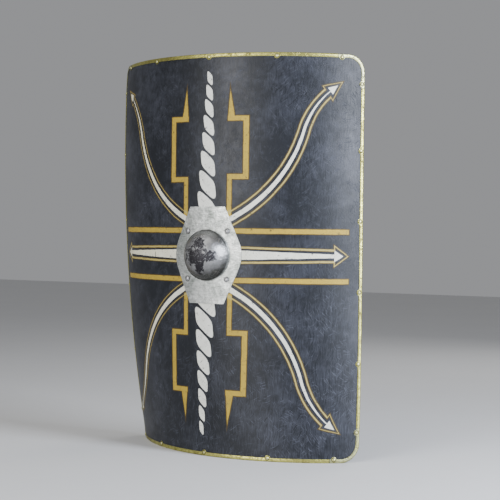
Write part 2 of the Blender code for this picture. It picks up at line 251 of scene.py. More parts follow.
former = former_group()


def bend_and_finish(tree, flat, finish, last):
    """The last steps of a piece's tree: round the former, and then the finish."""
    bent = put(tree, "GeometryNodeGroup", node_tree=former)
    join(flat, bent.inputs["Flat"])
    real = put(tree, "GeometryNodeRealizeInstances", {0: bent.outputs[0]})
    entries = {"Geometry": real.outputs[0], "Material": finish}
    join(put(tree, "GeometryNodeSetMaterial", entries).outputs[0], last.inputs[0])


def bending_tree():
    """Bends a flat piece and gives it its finish."""
    entries = {"Flat": GEOMETRY, "Finish": FINISH}
    tree, given, last = new_group("bent piece", "GeometryNodeTree", entries, ["Piece"])
    bend_and_finish(tree, given["Flat"], given["Finish"], last)
    return tree


bent_piece = bending_tree()


def evaluated_mesh(obj):
    """The mesh that an object's modifiers, or its curve, give."""
    bpy.context.view_layer.update()
    graph = bpy.context.evaluated_depsgraph_get()
    return bpy.data.meshes.new_from_object(obj.evaluated_get(graph))


def mesh_of(shape, name):
    """A new mesh with a worked shape in it."""
    mesh = bpy.data.meshes.new(name)
    shape.to_mesh(mesh)
    shape.free()
    return mesh


def settled(obj, sharp):
    """Leaves the result of an object's modifiers as its plain mesh, smooth between its sharp edges."""
    mesh = evaluated_mesh(obj)
    obj.modifiers.clear()
    obj.data = mesh
    shape = bmesh.new()
    shape.from_mesh(mesh)
    bmesh.ops.recalc_face_normals(shape, faces=shape.faces)
    shape.to_mesh(mesh)
    shape.free()
    mesh.shade_smooth()
    mesh.set_sharp_from_angle(angle=math.radians(sharp))


def worked_out(obj, tree, sharp=30.0, **values):
    """Runs a tree on an object with the given entries, and settles the result."""
    modifier = obj.modifiers.new(tree.name, "NODES")
    modifier.node_group = tree
    for item in tree.interface.items_tree:
        label = item.name.replace(" ", "_").lower()
        if item.item_type == "SOCKET" and item.in_out == "INPUT" and label in values:
            modifier[item.identifier] = values[label]
    settled(obj, sharp)


def new_piece(name, mesh):
    """A named object in the scene."""
    obj = bpy.data.objects.new(name, mesh)
    bpy.context.scene.collection.objects.link(obj)
    return obj


def fitted(obj, slot, *nodes):
    """Makes a finished piece stand for the CAD nodes that it replaces."""
    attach(obj, "root")
    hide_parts(*nodes)
    return obj


def quarter(centre, radius, start, steps):
    """Points along a quarter circle that starts at an angle in degrees."""
    angles = [math.radians(start + 90.0 * k / steps) for k in range(steps + 1)]
    return [(centre[0] + radius * math.cos(a), centre[1] + radius * math.sin(a)) for a in angles]


def round_rectangle(half_across, half_up, radius, steps):
    """Points round a rectangle with round corners."""
    points = []
    for start, side, level in ((0, 1, 1), (90, -1, 1), (180, -1, -1), (270, 1, -1)):
        centre = (side * (half_across - radius), level * (half_up - radius))
        points += quarter(centre, radius, start, steps)
    return points


def board_blank():
    """The flat board: a sheet with round corners and the hand hole, split along rulings and levels."""
    size = (HALF_ARC - BOARD_INSET, HALF_HEIGHT - BOARD_INSET, CORNER_RADIUS - BOARD_INSET)
    rim = round_rectangle(*size, steps=BOARD_CORNER_STEPS)
    angles = [math.tau * k / HAND_HOLE_SIDES for k in range(HAND_HOLE_SIDES)]
    hole = [(HAND_HOLE_RADIUS * math.cos(a), HAND_HOLE_RADIUS * math.sin(a)) for a in angles]
    curve = bpy.data.curves.new("board outline", "CURVE")
    curve.dimensions = "2D"
    curve.fill_mode = "BOTH"
    curve.extrude = BOARD_THICKNESS / 2
    for outline in (rim, hole):
        spline = curve.splines.new("POLY")
        spline.points.add(len(outline) - 1)
        for point, (x, y) in zip(spline.points, outline):
            point.co = (x, y, 0.0, 1.0)
        spline.use_cyclic_u = True
    drawn = new_piece("board outline", curve)
    mesh = evaluated_mesh(drawn)
    bpy.data.objects.remove(drawn)
    shape = bmesh.new()
    shape.from_mesh(mesh)
    bmesh.ops.translate(shape, verts=shape.verts, vec=(0.0, 0.0, -BOARD_THICKNESS / 2))
    bmesh.ops.remove_doubles(shape, verts=shape.verts, dist=1e-6)
    flush = [edge for edge in shape.edges if edge.calc_face_angle(1.0) < 0.001]
    bmesh.ops.dissolve_edges(shape, edges=flush, use_verts=False)
    for pitch, half, normal in (
        (BOARD_RULING_PITCH, HALF_ARC, Vector((1, 0, 0))),
        (BOARD_LEVEL_PITCH, HALF_HEIGHT, Vector((0, 1, 0))),
    ):
        lines = int(half / pitch)
        for k in range(-lines, lines + 1):
            everything = shape.verts[:] + shape.edges[:] + shape.faces[:]
            bmesh.ops.bisect_plane(
                shape, geom=everything, dist=1e-6, plane_co=normal * (k * pitch), plane_no=normal
            )
    bmesh.ops.triangulate(shape, faces=[face for face in shape.faces if len(face.verts) > 4])
    shape.to_mesh(mesh)
    shape.free()
    return mesh


def inside(distance):
    """1 inside a painted edge, where the distance to it is below 0, and 0 outside."""
    return (0.5 - distance / PAINT_SOFTNESS).share()


def arc_path_group():
    """Distance along and across a line of two tangent arcs that ends straight, as the brush went."""
    entries = {
        "Across": 0.0,
        "Up": 0.0,
        "First Centre": VECTOR,
        "First Radius": 1.0,
        "Second Centre": VECTOR,
        "Second Radius": 1.0,
        "Join": VECTOR,
        "Join Direction": VECTOR,
        "End": VECTOR,
        "End Direction": VECTOR,
    }
    results = ["Along", "Sideways", "Distance"]
    tree, given, last = new_group("two arcs and a tip", "ShaderNodeTree", entries, results)

    def pair_of(label):
        return parts_of(tree, given[label])[:2]

    def from_point(label):
        x, y = pair_of(label)
        return given["Across"] - x, given["Up"] - y

    def along(pair, label):
        x, y = pair_of(label)
        return pair[0] * x + pair[1] * y

    def sideways(pair, label):
        x, y = pair_of(label)
        return pair[1] * x - pair[0] * y

    from_end = from_point("End")
    first = given["First Radius"] - hypotenuse(*from_point("First Centre"))
    second = hypotenuse(*from_point("Second Centre")) - given["Second Radius"]
    third = sideways(from_end, "End Direction")
    reached = along(from_end, "End Direction")
    past_join = along(from_point("Join"), "Join Direction").over(0.0)
    rest = second + reached.over(0.0) * (third - second)
    join(reached, last.inputs["Along"])
    join(first + past_join * (rest - first), last.inputs["Sideways"])
    join(hypotenuse(*from_end), last.inputs["Distance"])
    return tree


def arrow_group():
    """A painted arrow: an off-white core and an ochre line round it, as masks."""
    entries = {
        "Along": 0.0,
        "Sideways": 0.0,
        "Distance": 0.0,
        "Shaft Half Width": 0.0008,
        "Swell": 0.022,
        "Widest": 0.0022,
        "Late Swell": 0.0100,
        "Gap": 0.0066,
        "Line": 0.0084,
        "Head Start": -0.02,
        "Head Length": 0.06,
        "Head Half Width": 0.027,
        "Head Line": 0.0062,
        "Core Start": 0.012,
        "Core Length": 0.025,
        "Core Half Width": 0.0105,
        "Dark Edge": 0.0025,
    }
    results = ["Core", "Outline", "Heart"]
    tree, given, last = new_group("outlined arrow", "ShaderNodeTree", entries, results)
    x = given["Along"] - given["Head Start"]
    y = abs(given["Sideways"])
    distance = given["Distance"]
    half = given["Shaft Half Width"] + distance * given["Swell"]
    half = half.least(given["Widest"] + distance * given["Late Swell"])

    def triangle(start, length, half_width):
        slant = length / hypotenuse(length, half_width)
        side = y - half_width * (1.0 - (x - start) / length)
        return (side * slant).most(start - x)

    head = triangle(0.0, given["Head Length"], given["Head Half Width"])
    point = triangle(given["Core Start"], given["Core Length"], given["Core Half Width"])
    core = (y - half).most(x - given["Core Start"]).least(point)
    inner_shaft = (y - half - given["Gap"]).most(x - given["Core Start"])
    inner = inner_shaft.least(head + given["Head Line"])
    outer_shaft = (y - half - given["Gap"] - given["Line"]).most(x - given["Head Line"])
    outer = outer_shaft.least(head)
    edge = given["Dark Edge"]
    join(inside(core), last.inputs["Core"])
    join(inside(outer) * (1.0 - inside(inner)), last.inputs["Outline"])
    join(inside(outer + edge) * (1.0 - inside(inner - edge)), last.inputs["Heart"])
    return tree


def spindle_group():
    """The twisted spindle: leaning pods that widen towards the boss, as one mask."""
    entries = {
        "Across": 0.0,
        "Up": 0.0,
        "Middle": -0.0035,
        "Lean": 0.015,
        "Reach": 0.475,
        "First Pitch": 0.0338,
        "Pitch Growth": 0.00176,
        "First Half Width": 0.0068,
        "Width Growth": 0.058,
        "Slant": 0.66,
        "Gap": 0.0080,
        "Squareness": 3.3,
        "Twist": 0.15,
    }
    tree, given, last = new_group("twisted spindle", "ShaderNodeTree", entries, ["Pods"])
    across = given["Across"] - given["Middle"] - given["Lean"] * given["Up"]
    level = given["Up"] + given["Slant"] * across
    depth = given["Reach"] - abs(level)
    pitch = given["First Pitch"]
    growth = given["Pitch Growth"]
    count = ((pitch * pitch + growth * depth.most(0.0) * 4.0).root() - pitch) / (growth * 2.0)
    middle = count.worked("FLOOR") + 0.5
    height = pitch + growth * 2.0 * middle
    centre_depth = pitch * middle + growth * middle * middle
    half_width = given["First Half Width"] + given["Width Growth"] * centre_depth
    half_height = (height - given["Gap"]) * 0.5
    p = across / half_width
    q = (middle - count) * height / half_height * level.worked("SIGN")
    power = given["Squareness"]
    radius = (abs(p) ** power + abs(q) ** power) ** power.worked("POWER", -1.0)
    radius = radius + given["Twist"] * p * q
    join(inside((radius - 1.0) * half_height) * depth.over(0.0), last.inputs["Pods"])
    return tree


def bracket_group():
    """One stepped bracket with its spike, on distances from the middle of the board."""
    entries = {
        "Across": 0.0,
        "Up": 0.0,
        "Inner": 0.0580,
        "Outer": 0.1180,
        "Upright": 0.0172,
        "Outer Upright": 0.0192,
        "Near Arm": 0.1970,
        "Far Arm": 0.3472,
        "Arm": 0.0177,
        "Spike Width": 0.0240,
        "Spike Tip Across": 0.0655,
        "Spike Tip Up": 0.4465,
        "Dark Edge": 0.0026,
    }
    results = ["Paint", "Heart"]
    tree, given, last = new_group("stepped bracket", "ShaderNodeTree", entries, results)
    x, y = given["Across"], given["Up"]
    inner, outer = given["Inner"], given["Outer"]
    near, far, arm = given["Near Arm"], given["Far Arm"], given["Arm"]

    def block(left, right, low, high):
        return (left - x).most(x - right).most((low - y).most(y - high))

    upright = block(inner, inner + given["Upright"], near * 0.5, near + arm)
    near_arm = block(inner, outer, near, near + arm)
    outer_upright = block(outer - given["Outer Upright"], outer, near, far + arm)
    far_arm = block(inner, outer, far, far + arm)
    tip_x, tip_y = given["Spike Tip Across"], given["Spike Tip Up"]
    risen = (y - far) / (tip_y - far)
    left = inner + (tip_x - inner) * risen
    right = inner + given["Spike Width"] + (tip_x - inner - given["Spike Width"]) * risen
    spike = block(left, right, far, tip_y)
    whole = upright.least(near_arm).least(outer_upright).least(far_arm).least(spike)
    join(inside(whole), last.inputs["Paint"])
    join(inside(whole + given["Dark Edge"]), last.inputs["Heart"])
    return tree


def tangent_arcs(start, angle, first_radius, first_length, second_radius, second_length):
    """The numbers of a brush line that turns left on one arc and then right on the next."""

    def directions(heading):
        """Straight ahead, and to the left of that."""
        x, y = math.cos(heading), math.sin(heading)
        return Vector((x, y, 0.0)), Vector((-y, x, 0.0))

    heading = math.radians(angle)
    first_centre = Vector((*start, 0.0)) + directions(heading)[1] * first_radius
    heading += first_length / first_radius
    join_direction, to_left = directions(heading)
    place = first_centre - to_left * first_radius
    second_centre = place - to_left * second_radius
    end_direction, to_left = directions(heading - second_length / second_radius)
    return {
        "First Centre": first_centre,
        "First Radius": first_radius,
        "Second Centre": second_centre,
        "Second Radius": second_radius,
        "Join": place,
        "Join Direction": join_direction,
        "End": second_centre + to_left * second_radius,
        "End Direction": end_direction,
    }


UPPER_ARC = tangent_arcs((0.060, 0.0918), 25.7, 0.373, 0.3138, 0.205, 0.1343)
LOWER_ARC = tangent_arcs((0.060, 0.0841), 25.0, 0.380, 0.3184, 0.235, 0.1497)


def pattern_group():
    """The whole painted pattern of the face, from a flat place: ochre, white, and the cream of the
    arrows, with the heart of each ochre line and the lines that go round the arrows."""
    results = ["Ochre", "Heart", "Round Strand", "White", "Cream"]
    tree, given, last = new_group("scutum pattern", "ShaderNodeTree", {"Layout": VECTOR}, results)
    wander = put(
        tree,
        "ShaderNodeTexNoise",
        {"Vector": given["Layout"], "Scale": 38.0, "Detail": 3.0, "Roughness": 0.55},
    )
    sway = parts_of(tree, wander.outputs["Color"])
    flat = parts_of(tree, given["Layout"])
    u, v = (flat[k] + (sway[k] - 0.5) * HAND_WANDER for k in (0, 1))
    side = abs(u - PATTERN_MIDDLE)
    level = abs(v)
    upper = v.over(0.0)
    lower = 1.0 - upper
    right = u.over(0.0)
    left = 1.0 - right

    def set_in(group, entries):
        node = put(tree, "ShaderNodeGroup", node_tree=group)
        for label, value in entries.items():
            join(value, node.inputs[label])
        return {socket.name: Reading(socket) for socket in node.outputs}

    arrow_tree = arrow_group()
    path_tree = arc_path_group()
    thinner = {
        "Gap": 0.0066 - left * 0.0012,
        "Line": 0.0084 - left * 0.0020,
        "Head Half Width": 0.0270 - left * 0.0050,
    }
    curved = []
    for arc, head_start, half in ((UPPER_ARC, -0.0205, upper), (LOWER_ARC, -0.0300, lower)):
        path = set_in(path_tree, {"Across": side, "Up": level, **arc})
        painted = set_in(arrow_tree, {**path, **thinner, "Head Start": head_start})
        curved.append({name: reading * half for name, reading in painted.items()})
    behind_head = (LEVEL_ARROW_HEAD - side).most(0.0)
    level_arrow = set_in(
        arrow_tree,
        {
            "Along": side - LEVEL_ARROW_HEAD,
            "Sideways": v - LEVEL_ARROW_UP,
            "Distance": behind_head,
            "Head Start": 0.0,
            "Shaft Half Width": 0.0046,
            "Swell": 0.0305,
            "Widest": 0.0125,
            "Late Swell": 0.0,
            "Gap": 0.0060 - behind_head * 0.0110,
            "Line": 0.0084,
            "Head Length": 0.0450,
            "Head Half Width": 0.0320,
            "Head Line": 0.0060,
            "Core Start": 0.0030,
            "Core Length": 0.0240,
            "Core Half Width": 0.0145,
            "Dark Edge": 0.0019,
        },
    )
    clear = side.over(CLEAR_OF_BOSS)
    both = {name: (curved[0][name].most(curved[1][name])) * clear for name in curved[0]}
    core = both["Core"].most(level_arrow["Core"] * clear)
    outline = both["Outline"].most(level_arrow["Outline"])
    heart = both["Heart"].most(level_arrow["Heart"])

    bracket = set_in(
        bracket_group(),
        {
            "Across": abs(u + 0.0027 - lower * 0.0039),
            "Up": level,
            "Inner": 0.0563 + lower * 0.0020,
            "Outer": 0.1182 + lower * 0.0020,
            "Near Arm": 0.1960 - left * upper * 0.0070 - right * lower * 0.0045,
            "Spike Width": 0.0265 + lower * 0.0030,
            "Spike Tip Across": 0.0638 + lower * 0.0036,
            "Spike Tip Up": 0.4520 - left * lower * 0.0060 + right * lower * 0.0060,
        },
    )
    spindle_tree = spindle_group()
    high = set_in(spindle_tree, {"Across": u, "Up": v, "Reach": 0.4785})
    low = set_in(
        spindle_tree,
        {"Across": u, "Up": v, "Reach": 0.4700, "First Half Width": 0.0058, "Width Growth": 0.074},
    )
    bar_edge = (abs(level - BAR_LEVEL) - BAR_HALF_WIDTH).most(side - BAR_END)
    white = core.most(high["Pods"] * upper).most(low["Pods"] * lower)
    ochre = outline.most(bracket["Paint"]).most(inside(bar_edge)) * (1.0 - white)
    join(ochre, last.inputs["Ochre"])
    join(heart.most(bracket["Heart"]).most(inside(bar_edge + BAR_DARK_EDGE)), last.inputs["Heart"])
    join(outline, last.inputs["Round Strand"])
    join(white, last.inputs["White"])
    join(core, last.inputs["Cream"])
    return tree


def scuffs_group():
    """Long thin rub marks that lean one way, as a mask. Paint, brass and steel have them."""
    entries = {
        "Place": VECTOR,
        "Lean": 0.0,
        "Fineness": 600.0,
        "Length": 0.03,
        "Cover": 0.35,
        "Seed": 0.0,
    }
    tree, given, last = new_group("scuffs", "ShaderNodeTree", entries, ["Marks"])
    turned = put(
        tree,
        "ShaderNodeVectorRotate",
        {"Vector": given["Place"], "Angle": given["Lean"]},
        rotation_type="Z_AXIS",
    )
    x, y, z = parts_of(tree, turned.outputs[0])
    fineness = given["Fineness"]
    bow = (noise(tree, given["Place"], 16.0, 1.0) - 0.5) * given["Length"] * 1.2
    drawn = vector_of(
        tree, (x + bow) * fineness, y / given["Length"] + given["Seed"], z * fineness * 0.2
    )
    height = noise(tree, drawn, 1.0, 1.0)
    where = noise(tree, vector_of(tree, x + given["Seed"], y, z), 14.0, 3.0)
    limit = 0.76 - given["Cover"] * where.ramp(0.36, 0.60) * 0.20
    join(((height - limit) / 0.07).share(), last.inputs["Marks"])
    return tree


def drawn_apart(tone, contrast):
    """A tone between 0 and 1, drawn away from a half."""
    return ((tone - 0.5) * contrast * 2.0 + 0.5).share()


def mottle_group():
    """Soft uneven tone, coarse and fine together, from 0 to 1. Every finish but the oiled ash has some.
    """
    entries = {"Place": VECTOR, "Coarse": 9.0, "Fine": 70.0, "Contrast": 1.5}
    tree, given, last = new_group("mottle", "ShaderNodeTree", entries, ["Tone"])
    coarse = noise(tree, given["Place"], given["Coarse"], 4.0, 0.6)
    fine = noise(tree, given["Place"], given["Fine"], 5.0, 0.65)
    join(drawn_apart(coarse * 0.6 + fine * 0.4, given["Contrast"]), last.inputs["Tone"])
    return tree


def streaks_group():
    """Streaks that run up the piece, as brush strokes or wood grain leave them, from 0 to 1."""
    entries = {"Place": VECTOR, "Fineness": 260.0, "Stretch": 14.0, "Sway": 0.0, "Contrast": 1.4}
    tree, given, last = new_group("streaks", "ShaderNodeTree", entries, ["Tone"])
    x, y, z = parts_of(tree, given["Place"])
    fineness = given["Fineness"]
    bow = (noise(tree, given["Place"], 13.0, 2.0) - 0.5) * given["Sway"]
    drawn = vector_of(tree, (x + bow) * fineness, y * fineness / given["Stretch"], z * fineness)
    join(drawn_apart(noise(tree, drawn, 1.0, 4.0, 0.6), given["Contrast"]), last.inputs["Tone"])
    return tree


scuffs = scuffs_group()
mottle = mottle_group()
streaks = streaks_group()


def tone_from(tree, group, place, **entries):
    """Puts an effect group in a material and gives its result as a reading."""
    node = put(tree, "ShaderNodeGroup", node_tree=group)
    join(place, node.inputs["Place"])
    for label, value in entries.items():
        join(value, node.inputs[label.capitalize()])
    return Reading(node.outputs[0])


def blended(tree, share, under, over):
    """One colour laid over another by a share."""
    node = put(tree, "ShaderNodeMix", data_type="RGBA")
    join(share, node.inputs[0])
    join(under, node.inputs[6])
    join(over, node.inputs[7])
    return node.outputs[2]


def new_finish(name):
    """A new material, with its tree and its main shader."""
    material = bpy.data.materials.new(name)
    material.use_nodes = True
    return material, material.node_tree, material.node_tree.nodes["Principled BSDF"]


def flat_place(tree):
    """Where a point of the piece was in the flat layout."""
    return put(tree, "ShaderNodeAttribute", attribute_name="layout").outputs["Vector"]


def raised(tree, shader, height, distance):
    bump = put(tree, "ShaderNodeBump", {"Height": height, "Strength": 1.0, "Distance": distance})
    join(bump.outputs[0], shader.inputs["Normal"])


def board_paint():
    """Blue-black paint and the painted pattern, streaked, rubbed, scuffed and chipped, over plywood."""
    material, tree, shader = new_finish("painted board")
    layout = flat_place(tree)
    across, up, out = parts_of(tree, layout)
    front = out.over(-0.001)
    pattern = put(tree, "ShaderNodeGroup", {0: layout}, node_tree=pattern_group())
    ochre = Reading(pattern.outputs["Ochre"]) * front
    heart = Reading(pattern.outputs["Heart"]) * front
    round_strand = Reading(pattern.outputs["Round Strand"])
    white = Reading(pattern.outputs["White"]) * front

    tone = tone_from(tree, mottle, layout, coarse=6.0, fine=45.0, contrast=2.2)
    brushed = tone_from(
        tree, streaks, layout, fineness=420.0, stretch=16.0, sway=0.030, contrast=2.4
    )
    upright, slanting, crossing, dark_marks = (
        tone_from(tree, scuffs, layout, **dict(zip(SCUFF_TERMS, row))) for row in BOARD_SCUFFS
    )
    marks = upright.most(slanting).most(crossing)
    thin = tone_from(tree, mottle, layout, coarse=34.0, fine=260.0, contrast=2.0)
    rough_side = tone_from(tree, mottle, layout, coarse=3.5, fine=12.0, contrast=2.6)
    rough_side = (rough_side * 0.50 + (across * -1.6).share() * 0.5 + (up * -1.3).share()).share()
    hairline = 1.0 - abs(noise(tree, layout, 5.0, 0.5) - 0.47).ramp(0.0004, 0.0022)
    hairline = hairline * thin.ramp(0.45, 0.70) * rough_side
    wear = (tone - 0.35) * 0.28 + (brushed - 0.25) * (rough_side * 0.17 + 0.05)
    wear = wear + marks * (rough_side * 0.38 + 0.07) + hairline * 0.22 - dark_marks * 0.30
    ground = blended(tree, wear.share(), BLUE_BLACK, RUBBED_BLACK)

    chips = tone_from(tree, mottle, layout, coarse=95.0, fine=620.0, contrast=2.5).ramp(0.95, 1.0)
    knock_x = (across - KNOCK_ACROSS) / KNOCK_HALF_WIDTH
    knock_y = (up - KNOCK_UP) / KNOCK_HALF_HEIGHT
    knock = (1.0 - hypotenuse(knock_x, knock_y)).ramp(0.0, 0.3)
    kept = 1.0 - (chips * 0.8).most(marks * 0.22).most(knock * 0.7)
    ochre_tone = blended(tree, (thin * 0.60 + brushed * 0.20).share(), OCHRE, WORN_OCHRE)
    ochre_tone = blended(tree, round_strand * 0.55, ochre_tone, PALE_OCHRE)
    ochre_tone = blended(tree, heart * 0.92 + 0.04, BROWN_EDGE, ochre_tone)
    white_tone = blended(tree, (thin * 0.45 + brushed * 0.12).share(), OFF_WHITE, SOILED_WHITE)
    cream = Reading(pattern.outputs["Cream"]) * (0.30 + (across * -3.0).share() * 0.65)
    white_tone = blended(tree, cream * (0.6 + thin * 0.4), white_tone, CREAM)
    colour = blended(tree, ochre * kept, ground, ochre_tone)
    colour = blended(tree, white * kept, colour, white_tone)

    plies = (abs((out / BOARD_THICKNESS * PLIES).worked("FRACT") - 0.5) * 2.0).over(0.5)
    ply_colour = blended(tree, plies, BARE_PLY, DARK_PLY)
    radius = hypotenuse(across, up)
    wall = radius.worked("LESS_THAN", HAND_HOLE_RADIUS + HOLE_WALL_REACH)
    wall = wall * (1.0 - out.over(-PAINT_LIP)) * out.over(PAINT_LIP - BOARD_THICKNESS)
    join(blended(tree, wall, colour, ply_colour), shader.inputs["Base Color"])
    rough = 0.44 + brushed * 0.08 - tone * 0.05 + marks * 0.12 + (white + ochre) * 0.12
    join(rough, shader.inputs["Roughness"])
    shader.inputs["Specular IOR Level"].default_value = 0.36
    height = brushed * 0.3 - marks * 0.4 + tone * 0.2 + (ochre + white) * 0.35
    raised(tree, shader, height, 0.00022)
    return material


board = new_piece("painted_board", board_blank())
worked_out(board, bent_piece, finish=board_paint())
fitted(board, "painted_board", "board")

# The edging is folded brass sheet, a channel over the rim with round lobes beaten out for the rivets.
# Four straight lengths meet four formed corner lengths, with a fine joint at each end.
CHANNEL_SHEET = 0.001
CHANNEL_LEG = 0.010
CHANNEL_FOLD = 0.0032
LEG_CHAMFER_UP = 0.0002
LEG_CHAMFER_IN = 0.0003
LOBE_RADIUS = 0.007
RIVET_INSET = 0.009
LOBE_HALF_LENGTH = math.sqrt(LOBE_RADIUS**2 - (CHANNEL_LEG - RIVET_INSET) ** 2)
RIVET_PITCH = 0.184
CORNER_ARM_ACROSS = 0.029
CORNER_ARM_DOWN = 0.039
CORNER_RIVET_FROM_END = 0.011
JOINT_GAP = 0.0003
RIM_PITCH = 0.010
CORNER_PITCH = 0.006
CORNER_STEPS = 18
LOBE_STEPS = 16
LEAST_STEP = 0.001
TOP_JOINT = HALF_ARC - CORNER_RADIUS - CORNER_ARM_ACROSS
SIDE_JOINT = HALF_HEIGHT - CORNER_RADIUS - CORNER_ARM_DOWN

PALE_BRASS = (0.540, 0.515, 0.155, 1.0)
GREY_BRASS = (0.380, 0.385, 0.215, 1.0)
TARNISH = (0.130, 0.105, 0.030, 1.0)
# Grime with painted shade in a ring round each rivet head, and grime alone in the joints.
EDGE_GRIME_AND_SHADE = (0.034, 0.028, 0.012, 1.0)
GRIME_AND_SHADE_RING_RADIUS = 0.0050


def channel_section():
    """The closed outline of the folded channel: (inward, out, share of a lobe) for each point."""
    top = BOARD_INSET
    bottom = -BOARD_THICKNESS - BOARD_INSET
    inner = CHANNEL_FOLD - CHANNEL_SHEET

    def folded(level, radius, start, steps):
        return [(x, y, 0.0) for x, y in quarter((CHANNEL_FOLD, level), radius, start, steps)]

    upper, lower = top - CHANNEL_FOLD, bottom + CHANNEL_FOLD
    return [
        (CHANNEL_LEG, top - LEG_CHAMFER_UP, 1.0),
        (CHANNEL_LEG - LEG_CHAMFER_IN, top, 1.0),
        *folded(upper, CHANNEL_FOLD, 90, 6),
        *folded(lower, CHANNEL_FOLD, 180, 6),
        (CHANNEL_LEG - LEG_CHAMFER_IN, bottom, 1.0),
        (CHANNEL_LEG, bottom + LEG_CHAMFER_UP, 1.0),
        (CHANNEL_LEG, bottom + CHANNEL_SHEET, 1.0),
        *reversed(folded(lower, inner, 180, 4)),
        *reversed(folded(upper, inner, 90, 4)),
        (CHANNEL_LEG, top - CHANNEL_SHEET, 1.0),
    ]


def stations(start, end, rivets, pitch=RIM_PITCH):
    """Distances along a length: even steps, and close steps round each lobe."""
    steps = max(1, round((end - start) / pitch))
    even = [start + (end - start) * k / steps for k in range(steps + 1)]
    kept = [s for s in even if all(abs(s - r) > LOBE_HALF_LENGTH + LEAST_STEP for r in rivets)]
    for r in rivets:
        angles = [math.pi * k / LOBE_STEPS for k in range(LOBE_STEPS + 1)]
        kept += [r - LOBE_HALF_LENGTH * math.cos(angle) for angle in angles]
    return sorted(kept)


def lobe_at(distance, rivets):
    """How far the legs reach past their usual edge here."""
    near = min(abs(distance - rivet) for rivet in rivets)
    if near >= LOBE_HALF_LENGTH:
        return 0.0
    return RIVET_INSET + math.sqrt(LOBE_RADIUS**2 - near**2) - CHANNEL_LEG


def straight_run(half_length):
    """Places of the rivets along a straight length, evenly about its middle."""
    count = max(1, int(2 * half_length / RIVET_PITCH))
    return [(k - (count - 1) / 2) * RIVET_PITCH for k in range(count)]


TOP_RIVETS = straight_run(TOP_JOINT - JOINT_GAP)
SIDE_RIVETS = straight_run(SIDE_JOINT - JOINT_GAP)
CORNER_TOP_RIVET = TOP_JOINT + CORNER_RIVET_FROM_END
CORNER_SIDE_RIVET = SIDE_JOINT + CORNER_RIVET_FROM_END
LEVELS = ((1, "top"), (-1, "bottom"))
SIDES = ((-1, "left"), (1, "right"))


def level_points(level, side, distances, rivets):
    """Points along the top or the bottom edge, each with its way inward and its lobe."""
    way = Vector((0, -level, 0))
    return [
        (Vector((side * s, level * HALF_HEIGHT, 0.0)), way, lobe_at(s, rivets)) for s in distances
    ]


def upright_points(level, side, distances, rivets):
    """Points along a side edge, each with its way inward and its lobe."""
    way = Vector((-side, 0, 0))
    return [(Vector((side * HALF_ARC, level * s, 0.0)), way, lobe_at(s, rivets)) for s in distances]


def edge_lines():
    """Each length of edging: its name, and its points with their ways inward and their lobes."""
    top_run = stations(JOINT_GAP - TOP_JOINT, TOP_JOINT - JOINT_GAP, TOP_RIVETS)
    side_run = stations(JOINT_GAP - SIDE_JOINT, SIDE_JOINT - JOINT_GAP, SIDE_RIVETS)
    lengths = []
    for level, name in LEVELS:
        lengths.append((f"edging_{name}", level_points(level, 1, top_run, TOP_RIVETS)))
    for side, name in SIDES:
        lengths.append((f"edging_{name}", upright_points(1, side, side_run, SIDE_RIVETS)))
    turn_across = HALF_ARC - CORNER_RADIUS
    turn_up = HALF_HEIGHT - CORNER_RADIUS
    top_end, side_end = turn_across - LEAST_STEP, turn_up - LEAST_STEP
    top_arm = stations(TOP_JOINT, top_end, [CORNER_TOP_RIVET], CORNER_PITCH)
    side_arm = stations(SIDE_JOINT, side_end, [CORNER_SIDE_RIVET], CORNER_PITCH)
    for level, level_name in LEVELS:
        for side, side_name in SIDES:
            points = level_points(level, side, top_arm, [CORNER_TOP_RIVET])
            centre = Vector((side * turn_across, level * turn_up, 0.0))
            for k in range(CORNER_STEPS + 1):
                angle = math.radians(90.0 - 90.0 * k / CORNER_STEPS)
                way = Vector((side * math.cos(angle), level * math.sin(angle), 0.0))
                points.append((centre + way * CORNER_RADIUS, -way, 0.0))
            points += upright_points(level, side, reversed(side_arm), [CORNER_SIDE_RIVET])
            lengths.append((f"edging_corner_{level_name}_{side_name}", points))
    return lengths


def edge_rivet_places():
    """Where the rivets of the edging go, the straight lengths first and then the corners."""
    across = HALF_ARC - RIVET_INSET
    up = HALF_HEIGHT - RIVET_INSET
    places = [(s, level * up) for level, _ in LEVELS for s in TOP_RIVETS]
    places += [(side * across, s) for side, _ in SIDES for s in SIDE_RIVETS]
    for level, _ in LEVELS:
        for side, _ in SIDES:
            places.append((side * CORNER_TOP_RIVET, level * up))
            places.append((side * across, level * CORNER_SIDE_RIVET))
    return places


def channel_blank(points):
    """A mesh of the rim's line and the channel's section, with what the tree reads of each."""
    places, ways, lobes = (list(column) for column in zip(*points))
    section = [Vector(corner) for corner in channel_section()]
    corners = [corner.to_2d().to_3d() for corner in section]
    count, around = len(places), len(corners)
    edges = [(k, k + 1) for k in range(count - 1)]
    edges += [(count + k, count + (k + 1) % around) for k in range(around)]
    mesh = bpy.data.meshes.new("edging lines")
    mesh.from_pydata(places + corners, edges, [])
    written = {
        "way": ways + [Vector()] * around,
        "rim": places + [Vector()] * around,
        "lobe": lobes + [0.0] * around,
        "section": [Vector()] * count + section,
        "is_section": [0.0] * count + [1.0] * around,
    }
    for name, values in written.items():
        number = isinstance(values[0], float)
        attribute = mesh.attributes.new(name, "FLOAT" if number else "FLOAT_VECTOR", "POINT")
        for item, value in zip(attribute.data, values):
            setattr(item, "value" if number else "vector", value)
    return mesh


